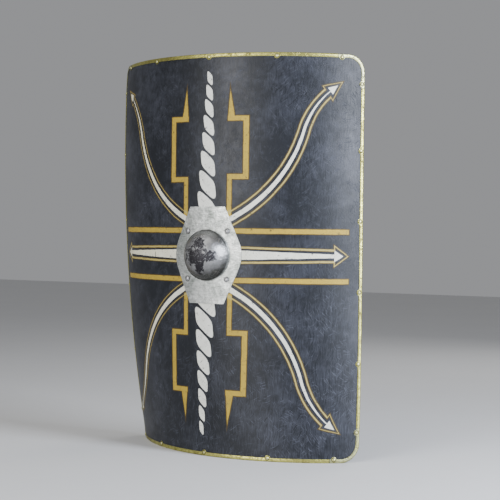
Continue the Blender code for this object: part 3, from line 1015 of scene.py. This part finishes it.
def channel_tree():
    """Sweeps the section along the rim, draws out the lobes, and bends the result round the former."""
    entries = {"Lines": GEOMETRY, "Lobe Share": 1.0, "Finish": FINISH}
    tree, given, last = new_group("folded channel", "GeometryNodeTree", entries, ["Piece"])

    def named(name, data_type):
        return put(
            tree, "GeometryNodeInputNamedAttribute", {"Name": name}, data_type=data_type
        ).outputs["Attribute"]

    def without(line, *names):
        for name in names:
            entries = {"Geometry": line.outputs[0], "Name": name}
            line = put(tree, "GeometryNodeRemoveAttribute", entries)
        return line.outputs[0]

    parted = put(
        tree,
        "GeometryNodeSeparateGeometry",
        {"Geometry": given["Lines"], "Selection": Reading(named("is_section", "FLOAT")).over(0.5)},
        domain="POINT",
    )
    section = put(tree, "GeometryNodeMeshToCurve", {0: parted.outputs["Selection"]})
    rim = put(tree, "GeometryNodeMeshToCurve", {0: parted.outputs["Inverted"]})
    lines = {"Curve": without(rim, "section"), "Profile Curve": without(section, "way", "rim", "lobe")}
    swept = put(tree, "GeometryNodeCurveToMesh", {**lines, "Fill Caps": True})
    inward, out, reach = parts_of(tree, named("section", "FLOAT_VECTOR"))
    way = parts_of(tree, named("way", "FLOAT_VECTOR"))
    edge = parts_of(tree, named("rim", "FLOAT_VECTOR"))
    drawn = inward + reach * Reading(named("lobe", "FLOAT")) * given["Lobe Share"]
    place = vector_of(tree, edge[0] + way[0] * drawn, edge[1] + way[1] * drawn, out)
    moved = put(tree, "GeometryNodeSetPosition", {"Geometry": swept.outputs[0], "Position": place})
    bend_and_finish(tree, moved.outputs[0], given["Finish"], last)
    return tree


def brass_finish(name, bright, dull):
    """Folded brass: pale metal, brown tarnish in patches, grime with painted shade in a ring round each
    rivet, and grime in the joints.
    """
    material, tree, shader = new_finish(name)
    layout = flat_place(tree)
    tone = tone_from(tree, mottle, layout, coarse=22.0, fine=190.0, contrast=1.7)
    spots = tone_from(tree, mottle, layout, coarse=120.0, fine=520.0, contrast=2.4).ramp(0.62, 0.95)
    marks = tone_from(tree, scuffs, layout, lean=0.5, fineness=900.0, length=0.010, cover=0.7)
    colour = blended(tree, tone.ramp(0.35, 1.0) * 0.75, bright, dull)
    colour = blended(tree, spots * 0.60, colour, TARNISH)
    wide, high = (abs(part) for part in parts_of(tree, layout)[:2])
    quarter_of_rivets = sorted({(abs(x), abs(y)) for x, y in edge_rivet_places()})
    nearest = reduce(Reading.least, [hypotenuse(wide - x, high - y) for x, y in quarter_of_rivets])
    # A dark ring just outside each rivet head is grime and painted shade together; the joints get grime
    # only.
    grime_and_shade = 1.0 - abs(nearest - GRIME_AND_SHADE_RING_RADIUS).ramp(0.0005, 0.0017)
    for past, end in ((wide, TOP_JOINT), (high, SIDE_JOINT)):
        grime_and_shade = grime_and_shade.most(1.0 - abs(past - end).ramp(0.0004, 0.0012))
    grime_and_shade = grime_and_shade * (0.55 + tone * 0.40)
    colour = blended(tree, marks * 0.4, colour, bright)
    join(blended(tree, grime_and_shade.share(), colour, EDGE_GRIME_AND_SHADE), shader.inputs["Base Color"])
    shader.inputs["Metallic"].default_value = 1.0
    rough = 0.33 + tone * 0.14 + spots * 0.22 - marks * 0.06 + grime_and_shade * 0.20
    join(rough, shader.inputs["Roughness"])
    raised(tree, shader, tone * 0.8 - spots * 0.5 + marks * 0.15, 0.00035)
    return material


channel = channel_tree()
length_brass = brass_finish("tarnished brass", PALE_BRASS, TARNISH)
corner_brass = brass_finish("grey corner brass", GREY_BRASS, PALE_BRASS)
for name, points in edge_lines():
    length = new_piece(f"folded_{name}", channel_blank(points))
    finish = corner_brass if "corner" in name else length_brass
    worked_out(length, channel, sharp=40.0, finish=finish)
    fitted(length, "brass_edging", name)

# The edge rivets are small brass nails with domed heads, driven through the lobes and hammered
# over flat behind.
EDGE_HEAD_RADIUS = 0.0038
EDGE_HEAD_HEIGHT = 0.0018
EDGE_TAIL_RADIUS = 0.0026
EDGE_TAIL_HEIGHT = 0.0010

RUBBED_BRASS = (0.800, 0.780, 0.420, 1.0)


def rivet_tree():
    """Sets a domed head and a flat tail at each point of a flat layout, and bends them into place."""
    entries = {
        "Places": GEOMETRY,
        "Head": VECTOR,
        "Tail": VECTOR,
        "Dents": 0.0002,
        "Seed": 3,
        "Finish": FINISH,
    }
    tree, given, last = new_group("set rivets", "GeometryNodeTree", entries, ["Piece"])

    def button(label, rings):
        radius, height, seat = parts_of(tree, given[label])
        ball = put(tree, "GeometryNodeMeshUVSphere", {"Segments": 24, "Rings": rings, "Radius": 1.0})
        size = vector_of(tree, radius, radius, height)
        place = vector_of(tree, 0.0, 0.0, seat)
        return put(
            tree,
            "GeometryNodeTransform",
            {"Geometry": ball.outputs[0], "Translation": place, "Scale": size},
        )

    head = button("Head", 14)
    tail = button("Tail", 8)
    rivet = put(tree, "GeometryNodeJoinGeometry")
    tree.links.new(head.outputs[0], rivet.inputs[0])
    tree.links.new(tail.outputs[0], rivet.inputs[0])
    points = put(tree, "GeometryNodeMeshToPoints", {"Mesh": given["Places"]})
    turn = put(tree, "FunctionNodeRandomValue", {"Seed": given["Seed"]}, data_type="FLOAT_VECTOR")
    turn.inputs["Min"].default_value = (-0.05, -0.05, 0.0)
    turn.inputs["Max"].default_value = (0.05, 0.05, math.tau)
    placed = put(
        tree,
        "GeometryNodeInstanceOnPoints",
        {"Points": points.outputs[0], "Instance": rivet.outputs[0], "Rotation": turn.outputs[0]},
    )
    real = put(tree, "GeometryNodeRealizeInstances", {0: placed.outputs[0]})
    place = put(tree, "GeometryNodeInputPosition").outputs[0]
    hammered = put(tree, "ShaderNodeTexNoise", {"Vector": place, "Scale": 260.0, "Detail": 1.0})
    nudge = put(
        tree,
        "ShaderNodeVectorMath",
        {0: hammered.outputs["Color"], 1: (0.5, 0.5, 0.5)},
        operation="SUBTRACT",
    )
    scaled = put(
        tree, "ShaderNodeVectorMath", {0: nudge.outputs[0], "Scale": given["Dents"]}, operation="SCALE"
    )
    dented = put(
        tree, "GeometryNodeSetPosition", {"Geometry": real.outputs[0], "Offset": scaled.outputs[0]}
    )
    bend_and_finish(tree, dented.outputs[0], given["Finish"], last)
    return tree


rivets = rivet_tree()


def set_rivets(name, places, **values):
    """A piece of rivets at flat places. A head or a tail is its radius, its height and its seat."""
    mesh = bpy.data.meshes.new(name)
    mesh.from_pydata([(across, up, 0.0) for across, up in places], [], [])
    piece = new_piece(name, mesh)
    worked_out(piece, rivets, sharp=50.0, **values)
    return piece


rivet_brass = brass_finish("hammered brass", RUBBED_BRASS, PALE_BRASS)
edge_rivets = set_rivets(
    "brass_edge_rivets",
    edge_rivet_places(),
    head=(EDGE_HEAD_RADIUS, EDGE_HEAD_HEIGHT, BOARD_INSET + JOINT_GAP),
    tail=(EDGE_TAIL_RADIUS, EDGE_TAIL_HEIGHT, -BOARD_THICKNESS - BOARD_INSET - JOINT_GAP),
    dents=0.00012,
    finish=rivet_brass,
)
fitted(edge_rivets, "brass_rivet", *[f"edge_rivet_{k:02d}" for k in range(1, 23)])

# The boss is one raised piece of steel sheet: a six-sided plate that follows the board, with a round
# dome over the hand hole. The plate is satin, the dome darker and polished, with a dark ragged stain.
PLATE_SHEET = 0.0016
PLATE_HEIGHT = 0.253
PLATE_WAIST = 0.215
PLATE_TOP = 0.103
PLATE_WAIST_RADIUS = 0.090
DOME_RADIUS = 0.065
DOME_HEIGHT = 0.052
DOME_FILLET = 0.0050
DOME_SPHERE = (DOME_RADIUS**2 + DOME_HEIGHT**2) / (2 * DOME_HEIGHT)
BOSS_RIVET_CIRCLE = 0.086
BOSS_RIVET_ANGLE = math.radians(46.7)
PLATE_FACE = JOINT_GAP + PLATE_SHEET
PLATE_RING_SHARES = (0.12, 0.26, 0.42, 0.58, 0.74, 0.88, 0.97, 1.0)
BOSS_RAYS = 144
DOME_RINGS = 24
DOME_RINGS_REACH = 0.985
FOOT_RINGS = 14
FOOT_RING_PITCH = 0.0007
FILED_EDGE = 0.0004
RIVET_ACROSS = BOSS_RIVET_CIRCLE * math.cos(BOSS_RIVET_ANGLE)
RIVET_UP = BOSS_RIVET_CIRCLE * math.sin(BOSS_RIVET_ANGLE)

SATIN_STEEL = (0.800, 0.815, 0.800, 1.0)
DULL_STEEL = (0.185, 0.210, 0.188, 1.0)
DOME_STEEL = (0.520, 0.520, 0.525, 1.0)
DARK_STEEL = (0.090, 0.089, 0.086, 1.0)
# Dirt with painted shade, round the rivet heads and in the crease at the dome's foot.
STEEL_DIRT_AND_SHADE = (0.060, 0.058, 0.052, 1.0)
STAIN = (0.007, 0.005, 0.010, 1.0)
STAIN_TURN = math.radians(28)
STAIN_MIDDLE = 0.0044
# Middle across and up, half width and half height of each oval of the stain, in dome radii.
STAIN_OVALS = (
    (-0.48, -0.02, 0.48, 0.44),
    (0.04, -0.03, 0.33, 0.26),
    (-0.36, -0.42, 0.20, 0.34),
    (-0.36, 0.46, 0.27, 0.26),
)


def bent(across, up, out):
    """The place on the finished shield of a point of the flat layout."""
    angle = across / FACE_RADIUS
    radius = FACE_RADIUS + out
    x = radius * math.sin(angle)
    y = FACE_RADIUS - BOARD_THICKNESS / 2 - radius * math.cos(angle)
    rise = up / HALF_HEIGHT
    turn = (WARP_TOP - WARP_FOOT) / 2 * rise + (WARP_TOP + WARP_FOOT) / 2 * rise**2
    turned_x = x * math.cos(turn) + y * math.sin(turn)
    return Vector((turned_x, y * math.cos(turn) - x * math.sin(turn), up + HALF_HEIGHT))


def plate_outline():
    """The plate's corner points, (across, up), with its waist corners rounded."""
    half_top = PLATE_TOP / 2
    half_height = PLATE_HEIGHT / 2
    half_waist = PLATE_WAIST / 2
    slant = math.atan2(half_waist - half_top, half_height)
    centre = half_waist - PLATE_WAIST_RADIUS / math.cos(slant)
    angles = [slant - 2 * slant * k / 12 for k in range(13)]
    waist = [
        (centre + PLATE_WAIST_RADIUS * math.cos(a), PLATE_WAIST_RADIUS * math.sin(a)) for a in angles
    ]
    right = [(half_top, half_height), *waist, (half_top, -half_height)]
    return right + [(-across, -up) for across, up in right]


def plate_edge(angle, outline):
    """How far the plate reaches from its middle in this direction."""
    way = Vector((math.cos(angle), math.sin(angle)))
    best = None
    for (ax, ay), (bx, by) in zip(outline, outline[1:] + outline[:1]):
        side = Vector((bx - ax, by - ay))
        turned = way.x * side.y - way.y * side.x
        if abs(turned) < 1e-12:
            continue
        distance = (ax * side.y - ay * side.x) / turned
        share = (ax * way.y - ay * way.x) / turned
        if distance > 0 and -1e-6 <= share <= 1 + 1e-6 and (best is None or distance < best):
            best = distance
    return best


def boss_place(radius, angle):
    """A point of the boss's outer face: the plate, the dome, or the fillet between them."""
    on_plate = bent(radius * math.cos(angle), radius * math.sin(angle), PLATE_FACE)
    middle = -BOARD_THICKNESS / 2 - PLATE_FACE - DOME_HEIGHT + DOME_SPHERE
    from_axis = math.hypot(on_plate.x, on_plate.z - HALF_HEIGHT)
    if from_axis >= DOME_SPHERE * 0.9999:
        return on_plate
    dome = middle - math.sqrt(DOME_SPHERE**2 - from_axis**2)
    gap = dome - on_plate.y
    slope = from_axis / math.sqrt(DOME_SPHERE**2 - from_axis**2)
    blend = DOME_FILLET * (1 + slope) / 2
    near = max(blend - abs(gap), 0.0) / blend
    return Vector((on_plate.x, min(dome, on_plate.y) - near * near * blend / 4, on_plate.z))


def joined_rings(shape, rings):
    """Joins each ring of points to the next with a band of faces."""
    for first, second in zip(rings, rings[1:]):
        for k in range(len(first)):
            after = (k + 1) % len(first)
            shape.faces.new((first[k], second[k], second[after], first[after]))


def boss_shell():
    """Rings of points from the crown to the plate's edge, joined into one face sheet."""
    outline = plate_outline()
    corners = [math.atan2(up, across) for across, up in outline]
    angles = sorted({round(math.tau * k / BOSS_RAYS - math.pi, 6) for k in range(BOSS_RAYS)})
    for corner in corners:
        angles.remove(min(angles, key=lambda a: abs(a - corner)))
        angles.append(corner)
        angles.sort()
    quarter_turns = [math.pi / 2 * k / DOME_RINGS for k in range(1, DOME_RINGS + 1)]
    radii = [DOME_RADIUS * math.sin(a) * DOME_RINGS_REACH for a in quarter_turns]
    radii += [DOME_RADIUS + FOOT_RING_PITCH * k for k in range(FOOT_RINGS)]
    foot = radii[-1]
    mesh = bmesh.new()
    crown = mesh.verts.new(boss_place(0.0, 0.0))
    rings = [[mesh.verts.new(boss_place(radius, a)) for a in angles] for radius in radii]
    edges = [plate_edge(a, outline) for a in angles]
    for share in PLATE_RING_SHARES:
        reached = [(foot + (edge - foot) * share, a) for edge, a in zip(edges, angles)]
        rings.append([mesh.verts.new(boss_place(radius, a)) for radius, a in reached])
    for k, point in enumerate(rings[0]):
        mesh.faces.new((crown, point, rings[0][(k + 1) % len(angles)]))
    joined_rings(mesh, rings)
    for face in mesh.faces:
        if face.normal.y > 0:
            face.normal_flip()
    bmesh.ops.recalc_face_normals(mesh, faces=mesh.faces)
    if crown.link_faces[0].normal.y > 0:
        bmesh.ops.reverse_faces(mesh, faces=mesh.faces)
    return mesh_of(mesh, "boss shell")


def boss_steel():
    """Satin plate, dirt and painted shade round the rivets and in the dome's foot, painted shade
    darkening the dome towards its foot and on its lower half, and a dark ragged stain over the dome.
    """
    material, tree, shader = new_finish("boss steel")
    x, y, z = parts_of(tree, put(tree, "ShaderNodeTexCoord").outputs["Object"])
    up = z - HALF_HEIGHT
    face_place = vector_of(tree, x, up, y)
    radius = hypotenuse(x, up)
    dome = 1.0 - radius.ramp(DOME_RADIUS - 0.001, DOME_RADIUS + 0.002)
    tone = tone_from(tree, mottle, face_place, coarse=13.0, fine=80.0, contrast=2.6)
    fine = tone_from(tree, mottle, face_place, coarse=90.0, fine=420.0, contrast=1.8)
    level_place = vector_of(tree, up, x, y)
    brushed = tone_from(tree, streaks, level_place, fineness=420.0, stretch=12.0, contrast=2.4)
    marks = tone_from(tree, scuffs, face_place, lean=0.9, fineness=700.0, length=0.012, cover=0.9)
    crossing = tone_from(
        tree, scuffs, face_place, lean=-0.5, fineness=800.0, length=0.010, cover=0.8, seed=5.0
    )
    scratched = marks.most(crossing)
    worn = tone * 0.65 + fine * 0.25 + brushed * 0.25 - 0.10
    plate = blended(tree, worn.share(), SATIN_STEEL, DULL_STEEL)
    # Painted shade: the dome is darker towards its foot and on its lower half. The rest of its tone is
    # a mottled patina.
    shade_towards_foot = radius.ramp(DOME_RADIUS * 0.62, DOME_RADIUS)
    lower_half_shade = (up * -16.0).share()
    patina_and_shade = tone * 0.20 + fine * 0.22 + shade_towards_foot * 0.45 + lower_half_shade * 0.65
    ball = blended(tree, patina_and_shade.share(), DOME_STEEL, DARK_STEEL)
    colour = blended(tree, dome, plate, ball)

    # Dirt and painted shade: a dark ring round each rivet head, and a dark line in the crease at the
    # dome's foot.
    dirt_and_shade = 1.0 - hypotenuse(abs(x) - RIVET_ACROSS, abs(up) - RIVET_UP).ramp(0.0064, 0.0096)
    foot = 1.0 - abs(radius - DOME_RADIUS - 0.0012).ramp(0.0004, 0.0034)
    dirt_and_shade = (dirt_and_shade * 1.2).most(foot * 0.7) * (0.45 + tone * 0.5)
    colour = blended(tree, dirt_and_shade.share(), colour, STEEL_DIRT_AND_SHADE)

    turned_x = x * math.cos(STAIN_TURN) + y * math.sin(STAIN_TURN)
    stain_x, stain_y = (turned_x - STAIN_MIDDLE) / DOME_RADIUS, up / DOME_RADIUS
    ovals = [
        1.0 - hypotenuse((stain_x - across) / half_width, (stain_y - level) / half_height)
        for across, level, half_width, half_height in STAIN_OVALS
    ]
    cover = reduce(Reading.most, ovals)
    ragged = (noise(tree, face_place, 95.0, 6.0, 0.68) - 0.5) * 2.6
    depth = y + BOARD_THICKNESS / 2 + PLATE_FACE + DOME_HEIGHT - DOME_SPHERE
    outside = hypotenuse(radius, depth).over(DOME_SPHERE - PLATE_SHEET / 2)
    inside = dome * (1.0 - outside)
    stains = (cover + ragged).ramp(0.02, 0.22) * cover.ramp(-0.30, 0.0) * dome * outside
    colour = blended(tree, stains * 0.92, colour, STAIN)
    colour = blended(tree, inside * 0.75, colour, DARK_STEEL)
    bright = blended(tree, dome, SATIN_STEEL, DOME_STEEL)
    join(blended(tree, scratched * 0.35, colour, bright), shader.inputs["Base Color"])
    join(1.0 - stains * 0.2 - dirt_and_shade * 0.3, shader.inputs["Metallic"])
    rough = 0.30 - dome * 0.07 + tone * 0.10 + fine * 0.06 + brushed * 0.05 + stains * 0.20
    rough = rough + inside * 0.20
    join(rough.share(), shader.inputs["Roughness"])
    height = tone * 1.4 + fine * 0.5 + brushed * 0.3 - scratched * 0.4 - stains * 0.4 - dirt_and_shade * 0.5
    raised(tree, shader, height, 0.00035)
    return material


boss = new_piece("steel_boss", boss_shell())
thickness = boss.modifiers.new("Sheet", "SOLIDIFY")
thickness.thickness = PLATE_SHEET
thickness.offset = -1.0
thickness.use_even_offset = True
rounding = boss.modifiers.new("Filed edge", "BEVEL")
rounding.width = FILED_EDGE
rounding.segments = 2
rounding.limit_method = "ANGLE"
rounding.angle_limit = math.radians(60)
settled(boss, sharp=35.0)
boss.data.materials.append(boss_steel())
fitted(boss, "boss_steel", "boss")

# Four larger steel rivets hold the boss plate to the board, their heads hammered to low domes
# in front and their tails hammered flat behind.
BOSS_HEAD_RADIUS = 0.0060
BOSS_HEAD_HEIGHT = 0.0030
BOSS_TAIL_RADIUS = 0.0045
BOSS_TAIL_HEIGHT = 0.0015

RIVET_STEEL = (0.520, 0.520, 0.530, 1.0)
DULL_RIVET_STEEL = (0.200, 0.200, 0.210, 1.0)


def steel_finish(name, bright, dull):
    """Hammered steel or iron, mottled and lightly scuffed."""
    material, tree, shader = new_finish(name)
    layout = flat_place(tree)
    tone = tone_from(tree, mottle, layout, coarse=60.0, fine=400.0, contrast=1.8)
    marks = tone_from(tree, scuffs, layout, lean=0.7, fineness=900.0, length=0.006, cover=0.8)
    colour = blended(tree, tone * 0.8, bright, dull)
    join(blended(tree, marks * 0.4, colour, bright), shader.inputs["Base Color"])
    shader.inputs["Metallic"].default_value = 1.0
    join(0.30 + tone * 0.16, shader.inputs["Roughness"])
    raised(tree, shader, tone - marks * 0.3, 0.0003)
    return material


boss_rivets = set_rivets(
    "steel_boss_rivets",
    [(side * RIVET_ACROSS, level * RIVET_UP) for side in (-1, 1) for level in (1, -1)],
    head=(BOSS_HEAD_RADIUS, BOSS_HEAD_HEIGHT, PLATE_FACE + JOINT_GAP),
    tail=(BOSS_TAIL_RADIUS, BOSS_TAIL_HEIGHT, -BOARD_THICKNESS - JOINT_GAP),
    dents=0.0005,
    seed=11,
    finish=steel_finish("hammered steel", RIVET_STEEL, DULL_RIVET_STEEL),
)
fitted(boss_rivets, "steel_rivet", *[f"boss_rivet_{k}" for k in range(1, 5)])

# The grip is one bar of ash across the hand hole, shaved to a round handle between two flat pads.
# The pads lie on the back of the board, and two nails hold each.
PAD_START = 0.066
PAD_END = 0.128
PAD_HEIGHT = 0.038
PAD_THICKNESS = 0.012
HANDLE_HEIGHT = 0.027
HANDLE_THICKNESS = 0.024
HANDLE_BLEND = 0.030
GRIP_EDGE_RADIUS = 0.0045
HANDLE_EXTRA_RADIUS = 0.0045
PAD_END_ROUNDING = 0.003
PAD_END_SHRINK = 0.0028
GRIP_STEPS = 48

ASH = (0.370, 0.235, 0.120, 1.0)
DARK_ASH = (0.165, 0.092, 0.042, 1.0)


def grip_ring(across):
    """One section of the grip: (up, out) points round it, and rounder where the hand closes on it."""
    share = min(1.0, max(0.0, (abs(across) - PAD_START + HANDLE_BLEND) / HANDLE_BLEND))
    blend = share * share * (3 - 2 * share)
    thickness = HANDLE_THICKNESS + (PAD_THICKNESS - HANDLE_THICKNESS) * blend
    radius = GRIP_EDGE_RADIUS + (1 - blend) * HANDLE_EXTRA_RADIUS
    end = max(0.0, abs(across) - (PAD_END - PAD_END_ROUNDING)) / PAD_END_ROUNDING
    shrink = PAD_END_SHRINK * (1 - math.sqrt(max(0.0, 1 - end * end)))
    half_height = (HANDLE_HEIGHT + (PAD_HEIGHT - HANDLE_HEIGHT) * blend) / 2 - shrink
    front = -BOARD_THICKNESS - JOINT_GAP - shrink * 0.3
    back = -BOARD_THICKNESS - JOINT_GAP - thickness + shrink
    ring = round_rectangle(half_height, (front - back) / 2, radius, steps=6)
    return [(up, out + (front + back) / 2) for up, out in ring]


def grip_blank():
    """The flat grip: rings along the bar, closer together where its ends are rounded."""
    shape = bmesh.new()
    places = [PAD_END * k / GRIP_STEPS for k in range(2 - GRIP_STEPS, GRIP_STEPS - 1)]
    insets = (PAD_END_ROUNDING, 0.0016, 0.0006, 0.0)
    places += [side * (PAD_END - inset) for side in (-1, 1) for inset in insets]
    rings = []
    for across in sorted(set(places)):
        rings.append([shape.verts.new((across, up, out)) for up, out in grip_ring(across)])
    joined_rings(shape, rings)
    shape.faces.new(rings[0])
    shape.faces.new(rings[-1])
    bmesh.ops.recalc_face_normals(shape, faces=shape.faces)
    return mesh_of(shape, "grip")


def oiled_ash():
    """Ash with its grain along the bar, darker and smoother where hands have held it."""
    material, tree, shader = new_finish("oiled ash")
    layout = flat_place(tree)
    across, up, out = parts_of(tree, layout)
    lengthwise = vector_of(tree, up, across, out)
    rings = tone_from(tree, streaks, lengthwise, fineness=190.0, stretch=22.0, contrast=2.2)
    pores = tone_from(tree, streaks, lengthwise, fineness=1500.0, stretch=30.0, contrast=1.8)
    held = 1.0 - abs(across).ramp(0.030, 0.062)
    colour = blended(tree, (rings * 0.65 + pores * 0.25).share(), ASH, DARK_ASH)
    join(blended(tree, held * 0.45, colour, DARK_ASH), shader.inputs["Base Color"])
    join(0.62 - held * 0.20 + pores * 0.08, shader.inputs["Roughness"])
    raised(tree, shader, rings * 0.5 - pores * 0.4, 0.0002)
    return material


grip = new_piece("ash_grip", grip_blank())
worked_out(grip, bent_piece, finish=oiled_ash())
fitted(grip, "grip_wood", "grip")

# Four iron nails hold the grip's pads, two to a pad. They are driven from behind and stop short of
# the painted face, and their wide hammered heads lie on the pads.
NAIL_MIDDLE = (PAD_START + PAD_END) / 2
NAIL_SPREAD = 0.015
NAIL_POINT_RADIUS = 0.0013
NAIL_POINT_HEIGHT = 0.0010
NAIL_HEAD_RADIUS = 0.0045
NAIL_HEAD_HEIGHT = 0.0018

NAIL_IRON = (0.160, 0.150, 0.145, 1.0)
DARK_IRON = (0.055, 0.048, 0.042, 1.0)

grip_nails = set_rivets(
    "iron_grip_nails",
    [(side * (NAIL_MIDDLE + end * NAIL_SPREAD), 0.0) for side in (-1, 1) for end in (-1, 1)],
    head=(NAIL_POINT_RADIUS, NAIL_POINT_HEIGHT, -BOARD_THICKNESS),
    tail=(NAIL_HEAD_RADIUS, NAIL_HEAD_HEIGHT, -BOARD_THICKNESS - PAD_THICKNESS - 2 * JOINT_GAP),
    dents=0.0004,
    seed=23,
    finish=steel_finish("dark nail iron", NAIL_IRON, DARK_IRON),
)
fitted(grip_nails, "steel_rivet", *[f"grip_nail_{k}" for k in range(1, 5)])

# The stage: a pale plain floor, soft lights and the camera where the photographer stood.
floor_mesh = bpy.data.meshes.new("pale floor")
floor_mesh.from_pydata([(-9, -9, 0), (9, -9, 0), (9, 9, 0), (-9, 9, 0)], [], [(0, 1, 2, 3)])
floor = new_piece("pale_floor", floor_mesh)
paper, paper_tree, paper_shader = new_finish("pale paper")
paper_place = put(paper_tree, "ShaderNodeTexCoord").outputs["Object"]
paper_tone = tone_from(paper_tree, mottle, paper_place, coarse=2.0, fine=30.0, contrast=0.6)
join(
    blended(paper_tree, paper_tone, (0.60, 0.60, 0.60, 1.0), (0.66, 0.66, 0.655, 1.0)),
    paper_shader.inputs["Base Color"],
)
paper_shader.inputs["Roughness"].default_value = 0.85
floor_mesh.materials.append(paper)

world = bpy.data.worlds.new("soft room")
bpy.context.scene.world = world
world.use_nodes = True
world.node_tree.nodes["Background"].inputs["Color"].default_value = (0.86, 0.87, 0.90, 1.0)
world.node_tree.nodes["Background"].inputs["Strength"].default_value = 0.36


def soft_light(name, place, target, size, power, colour):
    light = bpy.data.lights.new(name, "AREA")
    light.shape = "RECTANGLE"
    light.size, light.size_y = size
    light.energy = power
    light.color = colour
    lamp = bpy.data.objects.new(name, light)
    lamp.location = place
    lamp.rotation_euler = (Vector(target) - Vector(place)).to_track_quat("-Z", "Y").to_euler()
    bpy.context.scene.collection.objects.link(lamp)


soft_light("front", (-0.40, -3.00, 1.15), (0.0, 0.0, 0.52), (1.3, 1.1), 64.0, (1.0, 0.99, 0.97))
soft_light("side", (2.45, -0.30, 1.30), (0.1, 0.0, 0.60), (0.8, 1.2), 128.0, (0.82, 0.88, 1.0))
soft_light("behind", (0.4, 3.2, 1.9), (0.0, 0.2, 0.5), (1.4, 1.4), 24.0, (1.0, 0.99, 0.97))
soft_light("overhead", (-0.2, -0.9, 2.7), (0.0, 0.0, 0.6), (1.6, 1.0), 14.0, (1.0, 0.99, 0.97))

CAMERA_PLACE = (1.7784, -3.0649, 0.5931)
CAMERA_YAW = -0.4944
CAMERA_PITCH = -0.0151
CAMERA_ROLL = 0.0123
lens = bpy.data.cameras.new("camera")
lens.lens = 97.6
lens.sensor_width = 36.0
camera = bpy.data.objects.new("camera", lens)
turns = ((-CAMERA_YAW, "Z"), (math.pi / 2 + CAMERA_PITCH, "X"), (CAMERA_ROLL, "Z"))
placing = Matrix.Translation(CAMERA_PLACE)
for angle, axis in turns:
    placing = placing @ Matrix.Rotation(angle, 4, axis)
camera.matrix_world = placing
bpy.context.scene.collection.objects.link(camera)
bpy.context.scene.camera = camera
